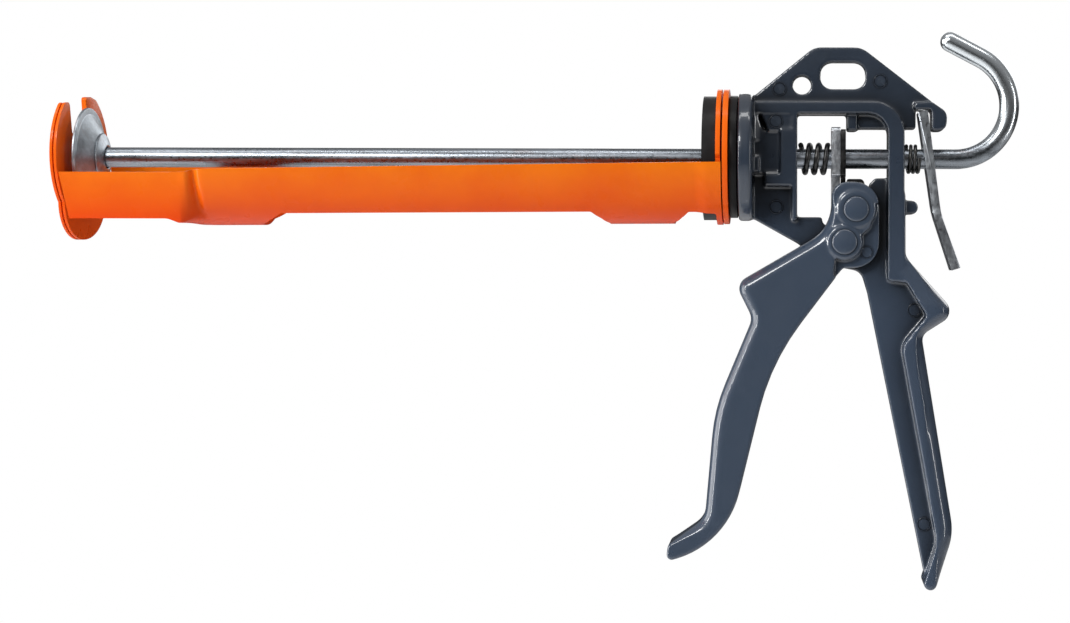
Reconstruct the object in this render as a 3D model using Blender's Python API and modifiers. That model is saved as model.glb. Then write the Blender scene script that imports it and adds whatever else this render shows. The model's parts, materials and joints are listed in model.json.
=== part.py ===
"""A skeleton caulking gun: a die-cast frame and trigger, a swivelling steel cradle and a hooked push rod.

Sizes are in millimetres in the gun's own frame, and the helpers turn them into metres. +X runs from the
nose to the hook, +Z is up, Y = 0 is the gun's middle plane and the rod's axis is X at Z = 0.
The whole gun then hangs from one empty that puts the world's origin in the middle of the fixed handle.
"""

import math

import bmesh
import bpy
from mathutils import Vector

MM = 0.001
GRIP_CENTRE = (68.0, 0.0, -95.0)
ARC_STEP = math.radians(15)
ROUND_STEPS = 32
GAP = 0.3

# Push rod and its pull hook
ROD_R = 4.0
HOOK_R = 21.7
HOOK_START_X = 88.3
HOOK_TURN = math.radians(152.4)
HOOK_TAIL = 13.8
SHOULDER_X = -254.9

# Plunger
SEAT_X = -255.2
DISH_R = 19.8
DISH_TILT = math.radians(3.5)
SPIGOT_R = 2.5
SLACK = 0.45

# Collar: the drum, washer and flange that the cradle turns between
COLLAR_Z = 0.7
DRUM_R = 24.9
DRUM_X = (-12.8, -7.5)
DRUM_Z = 0.1
SCREW_SEAT_X = -10.4
HUB_R = 15.0
PLATE_R = 27.1
FLANGE_R = 25.8
FLANGE_X = (1.1, 6.9)
SCREW_CIRCLE_R = 10.5
SCREW_R = 2.0

# Cradle
CRADLE_ROLL = math.radians(9)
TROUGH_R = 27.55
TROUGH_TAPER = 0.7
FLARE = 0.5
FLARE_X = (-16.0, -10.0)
SHEET = 1.2
RAIL_START_X = -262.8
ARM_END_X = -217.5
ROUND_START_X = -208.5
ARM_SHARE = 0.56
BEND_STEPS = 5
TROUGH_END_X = -5.2
NOSE_INNER_X = -263.8
NOSE_OUTER_X = -265.4
NOSE_R = 26.6
NOSE_TOP = 22.8
LOBE_DEPTH = 7.4
LOBE_SPREAD = 52
NOTCH_HALF = 6.0
NOTCH_STEP = 9.5
NOTCH_SHIFT = -1.8

# Frame casting
WEB = 3.0
RIB = 8.0
PALM = 10.0
ROD_BORE_R = 4.5
POST_X = (60.9, 67.5)
WALL_X = 24.6

# Trigger and its linkage
PIVOT = (43.5, -33.6)
THRUST = (48.1, -20.5)
TRIGGER_HALF = 10.0
CHANNEL_HALF = 3.6
RIVET_R = 3.0
HEAD_R = 4.9
HEAD_HALF = 11.4
LEVER_PIVOT = (75.0, 18.0)
LEVER_HALF = 7.0

PAINT = (0.055, 0.072, 0.105)
ORANGE = (0.87, 0.18, 0.012)
ZINC = (0.42, 0.45, 0.47)
BLACK = (0.012, 0.012, 0.013)
STEEL = (0.20, 0.20, 0.20)


# ---------------------------------------------------------------- scene and materials


def clear_scene():
    for obj in list(bpy.data.objects):
        bpy.data.objects.remove(obj, do_unlink=True)


def new_collection(name):
    collection = bpy.data.collections.new(name)
    bpy.context.scene.collection.children.link(collection)
    return collection


def new_material(name, colour, roughness, metallic):
    material = bpy.data.materials.new(name)
    material.use_nodes = True
    shader = material.node_tree.nodes["Principled BSDF"]
    shader.inputs["Base Color"].default_value = (*colour, 1.0)
    shader.inputs["Roughness"].default_value = roughness
    shader.inputs["Metallic"].default_value = metallic
    return material


clear_scene()
PARTS = new_collection("caulking_gun")
CUTTERS = new_collection("cutters")


def new_empty(name, place, parent=None, rotation=(0.0, 0.0, 0.0)):
    empty = bpy.data.objects.new(name, None)
    PARTS.objects.link(empty)
    empty.parent = parent
    empty.location = Vector(place) * MM
    empty.rotation_euler = rotation
    empty.empty_display_size = 0.01
    return empty


ROOT = new_empty("gun", [-value for value in GRIP_CENTRE])


# ---------------------------------------------------------------- shape helpers


def place_mesh(name, mesh, location=(0.0, 0.0, 0.0), rotation=(0.0, 0.0, 0.0)):
    obj = bpy.data.objects.new(name, mesh)
    PARTS.objects.link(obj)
    obj.parent = ROOT
    obj.location = Vector(location) * MM
    obj.rotation_euler = rotation
    return obj


def arc(radius, start, end, steps, centre=(0.0, 0.0)):
    """Points on a circle's arc, with angles in degrees."""
    turns = [math.radians(start + (end - start) * i / steps) for i in range(steps + 1)]
    return [(centre[0] + radius * math.cos(t), centre[1] + radius * math.sin(t)) for t in turns]


def rounded(corners):
    """An outline through (x, z, radius) corners, each rounded to its radius."""
    points = []
    for i, (x, z, radius) in enumerate(corners):
        here = Vector((x, z))
        before = (Vector(corners[i - 1][:2]) - here).normalized()
        after = (Vector(corners[(i + 1) % len(corners)][:2]) - here).normalized()
        turn = math.pi - before.angle(after)
        if radius == 0 or turn < 0.01:
            points.append((x, z))
            continue
        reach = radius * math.tan(turn / 2)
        centre = here + (before + after).normalized() * radius / math.cos(turn / 2)
        first = here + before * reach - centre
        last = here + after * reach - centre
        steps = max(1, math.ceil(turn / ARC_STEP))
        for k in range(steps + 1):
            share = k / steps
            mixed = first * math.sin((1 - share) * turn) + last * math.sin(share * turn)
            points.append(tuple(centre + mixed / math.sin(turn)))
    return points


def mesh_from_curve(name, curve, rotation=(0.0, 0.0, 0.0), location=(0.0, 0.0, 0.0)):
    """The curve's solid as a mesh object, with its caps welded on."""
    helper = bpy.data.objects.new(name + "_curve", curve)
    PARTS.objects.link(helper)
    graph = bpy.context.evaluated_depsgraph_get()
    mesh = bpy.data.meshes.new_from_object(helper.evaluated_get(graph))
    bpy.data.objects.remove(helper, do_unlink=True)
    work = bmesh.new()
    work.from_mesh(mesh)
    bmesh.ops.remove_doubles(work, verts=work.verts, dist=1e-6)
    bmesh.ops.recalc_face_normals(work, faces=work.faces)
    work.to_mesh(mesh)
    work.free()
    return place_mesh(name, mesh, location, rotation)


def flat(name, outline, half, holes=(), centre=0.0, across="Y"):
    """An outline given thickness: (x, z) points with it along Y, (y, z) with it along X, or (x, y) along Z."""
    curve = bpy.data.curves.new(name, "CURVE")
    curve.dimensions = "2D"
    curve.fill_mode = "BOTH"
    curve.extrude = half * MM
    for points in (outline, *holes):
        spline = curve.splines.new("POLY")
        spline.points.add(len(points) - 1)
        for point, (u, v) in zip(spline.points, points):
            point.co = (u * MM, v * MM, 0.0, 1.0)
        spline.use_cyclic_u = True
    if across == "Y":
        return mesh_from_curve(name, curve, (math.pi / 2, 0.0, 0.0), (0.0, centre, 0.0))
    if across == "Z":
        return mesh_from_curve(name, curve, (0.0, 0.0, 0.0), (0.0, 0.0, centre))
    return mesh_from_curve(name, curve, (math.pi / 2, 0.0, math.pi / 2), (centre, 0.0, 0.0))


def turned(name, profile, ring=False, steps=ROUND_STEPS, place=(0.0, 0.0, 0.0), along="X"):
    """A body of revolution from (distance along, radius) points, outer side first, far end to near end."""
    mesh = bpy.data.meshes.new(name)
    work = bmesh.new()
    verts = [work.verts.new((radius * MM, 0.0, distance * MM)) for distance, radius in profile]
    for first, second in zip(verts, verts[1:]):
        work.edges.new((first, second))
    if ring:
        work.edges.new((verts[-1], verts[0]))
    work.to_mesh(mesh)
    work.free()
    rotation = (0.0, math.pi / 2, 0.0) if along == "X" else (-math.pi / 2, 0.0, 0.0)
    obj = place_mesh(name, mesh, place, rotation)
    screw = obj.modifiers.new("turn", "SCREW")
    screw.steps = steps
    screw.render_steps = steps
    screw.use_merge_vertices = True
    screw.merge_threshold = 0.00001
    screw.use_smooth_shade = True
    return obj


def box(name, low, high):
    size = Vector(high) - Vector(low)
    mesh = bpy.data.meshes.new(name)
    work = bmesh.new()
    bmesh.ops.create_cube(work, size=1.0)
    bmesh.ops.scale(work, vec=size * MM, verts=work.verts)
    work.to_mesh(mesh)
    work.free()
    return place_mesh(name, mesh, (Vector(low) + Vector(high)) / 2)


def cylinder(name, radius, start, end, place=(0.0, 0.0, 0.0), along="X", steps=24):
    """A plain round bar that runs from start to end along X or Y, moved by place."""
    mesh = bpy.data.meshes.new(name)
    work = bmesh.new()
    bmesh.ops.create_cone(
        work, cap_ends=True, segments=steps, radius1=radius * MM, radius2=radius * MM, depth=(end - start) * MM
    )
    work.to_mesh(mesh)
    work.free()
    middle = Vector(place)
    middle["XYZ".index(along)] += (start + end) / 2
    rotation = (0.0, math.pi / 2, 0.0) if along == "X" else (-math.pi / 2, 0.0, 0.0)
    return place_mesh(name, mesh, middle, rotation)


def wire(name, points, radius, sides):
    """A round wire through world-frame points, with flat caps. A point may carry its own share of the radius."""
    curve = bpy.data.curves.new(name, "CURVE")
    curve.dimensions = "3D"
    curve.bevel_depth = radius * MM
    curve.bevel_resolution = sides
    curve.use_fill_caps = True
    spline = curve.splines.new("POLY")
    spline.points.add(len(points) - 1)
    for point, (x, y, z, share) in zip(spline.points, points):
        point.co = (x * MM, y * MM, z * MM, 1.0)
        point.radius = share
    return mesh_from_curve(name, curve)


def combine(target, others, operation):
    """Joins or cuts with helper bodies, which stay in the cutters' collection."""
    for other in others:
        modifier = target.modifiers.new(operation.lower(), "BOOLEAN")
        modifier.operation = operation
        modifier.solver = "EXACT"
        modifier.object = other
        PARTS.objects.unlink(other)
        CUTTERS.objects.link(other)
        other.hide_render = True
        other.display_type = "WIRE"


def join(target, *others):
    combine(target, others, "UNION")


def cut(target, *others):
    combine(target, others, "DIFFERENCE")


def soften(obj, width, segments, chosen):
    """Rounds the rim edges of a flat body, where chosen(x, z) says so."""
    mesh = obj.data
    weights = mesh.attributes.new("bevel_weight_edge", "FLOAT", "EDGE")
    for edge in mesh.edges:
        first, second = (mesh.vertices[i].co for i in edge.vertices)
        on_rim = abs(first.z - second.z) < 1e-7
        middle = (first + second) / 2 / MM
        weights.data[edge.index].value = 1.0 if on_rim and chosen(middle.x, middle.y) else 0.0
    bevel = obj.modifiers.new("soften", "BEVEL")
    bevel.limit_method = "WEIGHT"
    bevel.width = width * MM
    bevel.segments = segments


def finish(obj, material, parent=ROOT, smooth=True):
    """Gives a piece its material and hangs it from its body's empty. A turned empty's pieces are drawn in
    that empty's own frame, and all others where they stand in the gun's frame."""
    helpers = [modifier.object for modifier in obj.modifiers if modifier.type == "BOOLEAN"]
    for body in (obj, *helpers):
        if parent is not ROOT:
            body.parent = parent
            if not any(parent.rotation_euler):
                body.location = body.location - parent.location
    obj.data.materials.clear()
    obj.data.materials.append(material)
    if smooth:
        for polygon in obj.data.polygons:
            polygon.use_smooth = True
    return obj


# ---------------------------------------------------------------- frame


def frame_web():
    """The casting's middle plate, from the flange to the tip of the handle."""
    outline = rounded([
        (5.0, 23.4, 0), (31.3, 44.8, 8), (50.4, 44.8, 9), (84.7, 18.4, 4), (84.2, 11.2, 3),
        (78.3, 11.2, 1), (78.3, 19.6, 0.5), (72.2, 19.6, 0.5), (72.2, 11.8, 0), (65.0, 11.8, 0),
        (65.0, -36.0, 0), (70.0, -45.0, 0), (84.5, -61.0, 0), (83.0, -65.0, 0), (72.5, -70.0, 0),
        (70.5, -77.0, 0), (84.5, -150.0, 0), (79.5, -171.0, 0), (76.6, -170.0, 0),
        (52.9, -54.0, 5), (50.3, -45.4, 5), (43.1, -44.0, 4), (36.0, -44.6, 7),
        (25.0, -34.3, 0.5), (5.0, -23.2, 0),
    ])
    slot = rounded([(33.9, 28.0, 4.5), (51.9, 28.0, 4.5), (51.9, 38.7, 4.5), (33.9, 38.7, 4.5)])
    window = rounded([
        (WALL_X - 1, 17.5, 0), (44.3, 17.5, 0), (44.3, 11.8, 0), (62.0, 11.8, 0), (62.0, -7.8, 0),
        (55.9, -7.8, 0.5), (53.4, -10.3, 0.5), (53.4, -26.8, 2), (34.9, -26.8, 2), (34.6, -23.5, 0.5),
        (WALL_X - 1, -23.5, 0),
    ])
    return flat("frame_casting", outline, WEB, (slot, arc(3.7, 360, 20, 17, (26.4, 29.5)), window))


def rib_and_post():
    """The proud band over the window, which turns down into the rear post."""
    outline = rounded([
        (6.0, 22.6, 0), (POST_X[1], 22.6, 13), (POST_X[1], -45.0, 0), (70.0, -50.0, 0),
        (POST_X[0], -49.0, 1), (POST_X[0], 17.8, 8), (6.0, 17.8, 0),
    ])
    return flat("rib_and_post", outline, RIB)


def palm_strip():
    """The wide back of the handle, with the spur that stops the hand from sliding up."""
    outline = rounded([
        (66.9, -32.0, 0), (68.1, -39.5, 8), (88.3, -61.9, 4.5), (74.7, -70.9, 4), (87.7, -150.5, 24),
        (79.6, -175.0, 3), (75.1, -170.5, 2), (80.8, -154.0, 12), (66.4, -75.0, 7), (76.5, -63.0, 1.5),
        (65.6, -45.0, 4), (65.0, -32.0, 0),
    ])
    strip = flat("palm_strip", outline, PALM)
    soften(strip, 3.4, 2, lambda x, z: x > 66.5 + max(0.0, (-72.0 - z) * 0.19) + (5.0 if z < -72.0 else 0.0))
    return strip


def tail_block():
    """The thick end of the top web, which holds the release lever's top in a slot."""
    outline = rounded([
        (78.3, 23.0, 0), (84.7, 18.4, 4), (84.2, 11.2, 3), (78.3, 11.2, 1), (78.3, 19.6, 0.5),
        (72.2, 19.6, 0.5), (72.2, 11.8, 0), (69.5, 11.8, 0), (69.5, 23.0, 0),
    ])
    return flat("tail_block", outline, LEVER_HALF - 0.5)


def frame_casting(material):
    web = frame_web()
    flange = turned(
        "flange",
        [(FLANGE_X[1], 0), (FLANGE_X[1], FLANGE_R - 1), (FLANGE_X[1] - 1, FLANGE_R),
         (FLANGE_X[0] + 0.6, FLANGE_R), (FLANGE_X[0], FLANGE_R - 0.6), (FLANGE_X[0], 0)],
        steps=40, place=(0.0, 0.0, COLLAR_Z),
    )
    near, far = FLANGE_X[1] - 1, WALL_X
    join(
        web, flange, rib_and_post(), palm_strip(), tail_block(),
        box("wall", (22.6, -RIB, -25.0), (far, RIB, 18.2)),
        box("bearing", (17.8, -RIB - 0.1, -6.5), (far - 0.1, RIB + 0.1, 11.5)),
        box("cheek", (near, -7.6, 11.0), (far - 0.2, 7.6, 18.4)),
        box("shelf", (near, -RIB + 0.1, -11.3), (far - 0.3, RIB - 0.1, -6.1)),
        cylinder("rod_tube", 6.9, near, 19.0),
        box("fulcrum_lug", (44.3, -5.0, 11.0), (48.7, 5.0, 18.0)),
        flat("post_lug", rounded([(66.0, -16.8, 0), (73.1, -16.8, 2.7), (73.1, -22.4, 2.7), (66.0, -22.4, 0)]), 4.5),
    )
    cut(web, cylinder("rod_bore", ROD_BORE_R, -2.0, 80.0))
    cut(web, cylinder("pivot_hole", RIVET_R + 0.15, -6.0, 6.0, (PIVOT[0], 0.0, PIVOT[1]), "Y"))
    for i, (y, z) in enumerate(screw_places()):
        cut(web, cylinder(f"screw_hole_{i + 1}", SCREW_R + 0.15, -1.0, 6.0, (0.0, y, z + COLLAR_Z), steps=12))
    return finish(web, material, smooth=False)


# ---------------------------------------------------------------- collar


def screw_places():
    return arc(SCREW_CIRCLE_R, 90, 330, 2)


def collar_drum(material):
    drum = turned(
        "collar_drum",
        [(DRUM_X[1], 6), (DRUM_X[1], DRUM_R), (DRUM_X[0] + 0.7, DRUM_R), (DRUM_X[0], DRUM_R - 0.7), (DRUM_X[0], 6)],
        ring=True, place=(0.0, 0.0, DRUM_Z), steps=40,
    )
    hub = [(0.8, 7), (0.8, HUB_R), (DRUM_X[1] - 1, HUB_R), (DRUM_X[1] - 1, 7)]
    join(drum, turned("hub", hub, ring=True, place=(0.0, 0.0, COLLAR_Z), steps=40))
    for i, (y, z) in enumerate(screw_places()):
        cut(drum, cylinder(f"drum_hole_{i + 1}", SCREW_R + 0.15, -20.0, 5.0, (0.0, y, z + COLLAR_Z), steps=12))
        cut(drum, cylinder(f"drum_recess_{i + 1}", 3.9, -20.0, SCREW_SEAT_X, (0.0, y, z + COLLAR_Z), steps=16))
    return finish(drum, material)


def thrust_washer(material):
    washer = turned(
        "rear_thrust_washer", [(0.8, HUB_R + GAP), (0.8, 24.6), (-2.3, 24.6), (-2.3, HUB_R + GAP)],
        ring=True, place=(0.0, 0.0, COLLAR_Z), steps=40,
    )
    return finish(washer, material)


def collar_screw(number, place, material):
    y, z = place
    head = SCREW_SEAT_X - GAP
    profile = [
        (5.4, 0), (5.4, SCREW_R), (head, SCREW_R), (head, 3.5), (head - 1.6, 3.2), (head - 2.0, 2.4), (head - 2.0, 0),
    ]
    screw = turned(f"collar_screw_{number}", profile, steps=12, place=(0.0, y, z + COLLAR_Z))
    low, high = z - 0.35 + COLLAR_Z, z + 0.35 + COLLAR_Z
    cross = box(f"cross_{number}", (head - 2.7, y - 1.6, low), (head - 1.1, y + 1.6, high))
    cut(screw, cross)
    return finish(screw, material)


# ---------------------------------------------------------------- cradle


def trough_point(x, part):
    """A point of the trough's outer skin: part 0 is the near rail's top edge, 0.5 the bottom, 1 the far rail's."""
    side = -1 if part < 0.5 else 1
    down = 1 - abs(2 * part - 1)
    middle = (RAIL_START_X + TROUGH_END_X) / 2
    flare = min(1.0, max(0.0, (x - FLARE_X[0]) / (FLARE_X[1] - FLARE_X[0])))
    radius = TROUGH_R - TROUGH_TAPER * (x - middle) / (TROUGH_END_X - middle) + FLARE * flare
    angle = math.radians(3 - 93 * down)
    round_y, round_z = radius * math.cos(angle), radius * math.sin(angle)
    if down < ARM_SHARE:
        arm_y, arm_z = 27.4 - 3.1 * down / ARM_SHARE, 1.4 - 25.4 * down / ARM_SHARE
    else:
        arm_y, arm_z = 24.3 * (1 - down) / (1 - ARM_SHARE), -24.0 - 4.2 * (down - ARM_SHARE) / (1 - ARM_SHARE)
    share = min(1.0, max(0.0, (x - ARM_END_X) / (ROUND_START_X - ARM_END_X)))
    blend = share * share * (3 - 2 * share)
    return x, side * (arm_y + (round_y - arm_y) * blend), arm_z + (round_z - arm_z) * blend


def sheet(name, stations, parts, point_at):
    """A pressed sheet that is lofted along stations, with point_at giving its outer skin."""
    mesh = bpy.data.meshes.new(name)
    work = bmesh.new()
    rows = [[work.verts.new(Vector(point_at(x, i / parts)) * MM) for i in range(parts + 1)] for x in stations]
    for row, ahead in zip(rows, rows[1:]):
        for i in range(parts):
            work.faces.new((row[i], row[i + 1], ahead[i + 1], ahead[i]))
    work.to_mesh(mesh)
    work.free()
    obj = place_mesh(name, mesh)
    solid = obj.modifiers.new("sheet", "SOLIDIFY")
    solid.thickness = SHEET * MM
    solid.offset = -1.0
    solid.use_even_offset = True
    return obj


def cradle_trough(parent, material):
    """Two rails rolled from one sheet, tied by bridges under the cartridge and open between them. The nose
    ends are two flat arms, with a crimp where the round trough turns into them."""
    bend = [ARM_END_X + (ROUND_START_X - ARM_END_X) * i / BEND_STEPS for i in range(BEND_STEPS + 1)]
    trough = sheet("cradle_trough", [RAIL_START_X, *bend, *FLARE_X, TROUGH_END_X], 34, trough_point)
    top = [
        (-266.0, -3.8, 0), (-216.0, -3.8, 12), (-206.0, -2.3, 12), (-4.0, 0.8, 0), (-4.0, 8.0, 0), (-266.0, 8.0, 0),
    ]
    cut(trough, flat("rail_tops", rounded(top), 32.0))
    under_arms = [
        (-266.0, -22.3, 0), (-222.0, -22.3, 6), (-215.5, -25.0, 3), (-213.5, -32.0, 0), (-266.0, -32.0, 0),
    ]
    cut(trough, flat("under_arms", rounded(under_arms), 32.0))
    main = [(-189.5, 8.0), (-184.8, 14.0), (-179.5, 18.3), (-56.9, 18.3), (-53.2, 14.0), (-50.4, 8.0)]
    rear = [(-24.6, 8.0), (-21.3, 14.0), (-18.4, 17.9), (-7.4, 17.9)]
    for name, half in (("main_window", main), ("rear_window", rear)):
        outline = [(x, y) for x, y in half] + [(x, -y) for x, y in reversed(half)]
        cut(trough, flat(name, outline, 11.0, centre=-23.0, across="Z"))
    return finish(trough, material, parent)


def nose_outline(mouth):
    """A disc with a lobe below, and a wide-mouthed notch for the nozzle that ends in a round seat."""
    right = [(mouth + NOTCH_SHIFT, NOTCH_STEP), (mouth + NOTCH_SHIFT, NOSE_TOP), (11.0, NOSE_TOP)]
    near_top = NOSE_TOP - 0.6
    left = [(-14.0, near_top), (NOTCH_SHIFT - mouth - 0.8, near_top), (NOTCH_SHIFT - mouth, NOTCH_STEP)]
    rim = []
    for degrees in range(53, -236, -9):
        from_bottom = abs(degrees + 90) / LOBE_SPREAD
        radius = NOSE_R + LOBE_DEPTH * max(0.0, 1 - from_bottom**3)
        rim += arc(radius, degrees, degrees, 1)[:1]
    seat = arc(NOTCH_HALF, -180, 0, 10)
    return right + rim + left + [(-NOTCH_HALF, NOTCH_STEP)] + seat + [(NOTCH_HALF, NOTCH_STEP)]


def nose_plate(name, x, notch, parent, material):
    return finish(flat(name, nose_outline(notch), 0.5, (), x, "X"), material, parent, smooth=False)


def rear_plate_front(parent, material):
    """The front disc of the swivel, cut back below so that it sits between the rails."""
    outline = arc(PLATE_R, 8, 172, 20) + arc(25.1, 175, 365, 20)
    hole = arc(HUB_R + GAP, 0, 345, 23)
    return finish(flat("rear_plate_front", outline, 0.9, (hole,), -6.4, "X"), material, parent, smooth=False)


def rear_plate_back(parent, material):
    hole = arc(HUB_R + GAP, 0, 345, 23)
    disc = flat("rear_plate_back", arc(PLATE_R, 0, 351, 39), 1.05, (hole,), -3.65, "X")
    return finish(disc, material, parent, smooth=False)


# ---------------------------------------------------------------- plunger and rod


def plunger_dish(parent, material):
    """A pressed dish: a flat rim that pushes the cartridge's piston, and a cone back to the rod."""
    profile = [
        (-0.3, SPIGOT_R + SLACK), (-0.3, 9.5), (-4.9, 17.2), (-4.9, DISH_R - 0.3), (-5.2, DISH_R),
        (-6.0, DISH_R), (-6.0, 16.6), (-1.5, 8.9), (-1.5, SPIGOT_R + SLACK),
    ]
    return finish(turned("plunger_dish", profile, ring=True), material, parent)


def plunger_hub(parent, material):
    """The domed backing washer behind the dish, which the rod's shoulder bears on."""
    bore = ROD_R + SLACK
    profile = [(1.9, bore), (1.9, 5.2), (1.2, 7.2), (0.3, 9.4), (0.0, 9.8), (0.0, bore)]
    return finish(turned("plunger_hub", profile, ring=True), material, parent)


def plunger_rivet(parent, material):
    """The peened washer that keeps the dish on the rod's spigot."""
    profile = [
        (-1.8, SPIGOT_R + SLACK), (-1.8, 6.5), (-3.0, 6.5), (-3.6, 5.6), (-3.6, SPIGOT_R + SLACK),
    ]
    return finish(turned("plunger_rivet", profile, ring=True, steps=20), material, parent)


def push_rod(parent, material):
    """The rod with its turned-down spigot, and the hook that it is pulled back by."""
    bend_steps = 14
    points = [(SHOULDER_X, 0.0, 0.0, 1.0), (HOOK_START_X, 0.0, 0.0, 1.0)]
    for i in range(1, bend_steps + 1):
        turn = HOOK_TURN * i / bend_steps
        points.append((HOOK_START_X + HOOK_R * math.sin(turn), 0.0, HOOK_R * (1 - math.cos(turn)), 1.0))
    ahead = Vector((math.cos(HOOK_TURN), math.sin(HOOK_TURN)))
    tip = Vector((points[-1][0], points[-1][2])) + ahead * HOOK_TAIL
    points.append((tip.x, 0.0, tip.y, 1.0))
    for i in range(1, 5):
        turn = math.pi / 2 * i / 4.6
        along = tip + ahead * ROD_R * math.sin(turn)
        points.append((along.x, 0.0, along.y, math.cos(turn)))
    rod = wire("push_rod", points, ROD_R, 4)
    spigot = cylinder("spigot", SPIGOT_R, SEAT_X - 3.5, SHOULDER_X + 1.0, steps=20)
    join(rod, spigot)
    return finish(rod, material, parent)


# ---------------------------------------------------------------- trigger and thrust parts


def rivet(name, centre, material, parent):
    """A rivet through both cheeks: a shank with a flat head at each end."""
    profile = [
        (HEAD_HALF, 0), (HEAD_HALF, HEAD_R), (HEAD_HALF - 2.2, HEAD_R), (HEAD_HALF - 2.2, RIVET_R),
        (2.2 - HEAD_HALF, RIVET_R), (2.2 - HEAD_HALF, HEAD_R), (-HEAD_HALF, HEAD_R), (-HEAD_HALF, 0),
    ]
    pin = turned(name, profile, steps=24, place=(centre[0], 0.0, centre[1]), along="Y")
    return finish(pin, material, parent)


def trigger_outline():
    return rounded([
        (38.4, -9.6, 6), (57.4, -9.6, 10), (57.4, -43.6, 10), (42.9, -44.0, 0), (14.4, -81.8, 95),
        (-3.2, -154.1, 36), (-27.4, -161.2, 2), (-26.7, -154.6, 2.5), (-12.1, -144.4, 10),
        (-8.3, -100.5, 70), (6.8, -64.2, 6), (-0.1, -50.4, 5), (38.3, -27.9, 17),
    ])


def trigger_casting(parent, material):
    trigger = flat("trigger_casting", trigger_outline(), TRIGGER_HALF)
    soften(trigger, 3.2, 2, lambda x, z: x < 37.0 + (z + 26.0) * 0.55 - (3.0 if z < -45.0 else 0.0) and z < -18.0)
    for name, (x, z), radius in (("pivot_boss", PIVOT, 7.1), ("thrust_boss", THRUST, 8.0)):
        join(trigger, cylinder(name, radius, -10.8, 10.8, (x, 0.0, z), "Y", 28))
    upper = [
        (16.0, -28.0, 0), (16.0, -34.0, 0), (26.5, -40.6, 0), (34.0, -50.0, 0), (60.0, -58.0, 0),
        (62.0, -2.0, 0), (30.0, -2.0, 0),
    ]
    lower = [
        (31.0, -44.0, 0), (6.0, -54.0, 4), (10.6, -64.4, 6), (-4.6, -101.0, 66), (-8.0, -142.0, 8),
        (-14.5, -149.5, 3), (6.0, -160.0, 0), (30.0, -82.0, 0), (48.0, -48.0, 0), (40.0, -46.0, 0),
    ]
    cut(trigger, flat("frame_channel", rounded(upper), CHANNEL_HALF))
    cut(trigger, flat("trigger_hollow", rounded(lower), 6.6))
    for name, (x, z) in (("pivot", PIVOT), ("thrust", THRUST)):
        cut(trigger, cylinder(name + "_bore", RIVET_R + 0.15, -12.0, 12.0, (x, 0.0, z), "Y"))
        for side, start in (("near", -13.0), ("far", HEAD_HALF - 2.4)):
            seat = cylinder(f"{name}_seat_{side}", HEAD_R + 0.2, start, start + 15.4 - HEAD_HALF, (x, 0.0, z), "Y")
            cut(trigger, seat)
    return finish(trigger, material, parent, smooth=False)


def thrust_block(parent, material):
    """The shoe on the thrust rivet, which stays upright and pushes the drive plates."""
    outline = rounded([
        (44.5, -8.2, 0.5), (51.0, -8.2, 1.5), (53.0, -14.0, 3), (53.0, -25.3, 4), (44.5, -25.3, 2),
    ])
    block = flat("thrust_block", outline, CHANNEL_HALF - 0.4)
    cut(block, cylinder("block_bore", RIVET_R + 0.15, -6.0, 6.0, (THRUST[0], 0.0, THRUST[1]), "Y"))
    return finish(block, material, parent, smooth=False)


def drive_plate(name, low, high, half, top, tongue, parent, material):
    """A clutch plate that grips the rod when it is pushed, with a tongue down to the thrust block."""
    outline = [(-half, top, 2), (half, top, 2), (half, -7.3, 1)]
    outline += [(3.0, -7.3, 0), (3.0, tongue, 1), (-3.0, tongue, 1), (-3.0, -7.3, 0)]
    outline += [(-half, -7.3, 1)]
    plate = flat(name, rounded(outline), (high - low) / 2, (arc(ROD_R + 0.35, 0, 340, 17),), (low + high) / 2, "X")
    return finish(plate, material, parent, smooth=False)


def release_lever(parent, material):
    """The bent steel lever behind the post, which grips the rod until it is pressed forwards."""
    outline = rounded([
        (72.9, 18.6, 0.3), (78.8, -21.5, 30), (86.4, -44.9, 0.3), (90.0, -43.8, 0.3), (82.2, -22.5, 30),
        (76.8, 19.2, 0.3),
    ])
    lever = flat("release_lever", outline, LEVER_HALF - 1.0)
    cut(lever, cylinder("lever_hole", ROD_R + 0.75, 60.0, 100.0))
    return finish(lever, material, parent, smooth=False)


def coil_spring(name, start, end, turns, wire_r, material):
    """A compression spring round the rod."""
    steps = 12
    coil_r = ROD_R + 0.5 + wire_r
    points = []
    for i in range(int(turns * steps) + 1):
        turn = math.tau * i / steps
        share = i / (turns * steps)
        x = start + wire_r + (end - start - 2 * wire_r) * share
        points.append((x, coil_r * math.sin(turn), coil_r * math.cos(turn), 1.0))
    return finish(wire(name, points, wire_r, 2), material)


# ---------------------------------------------------------------- assembly


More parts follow.
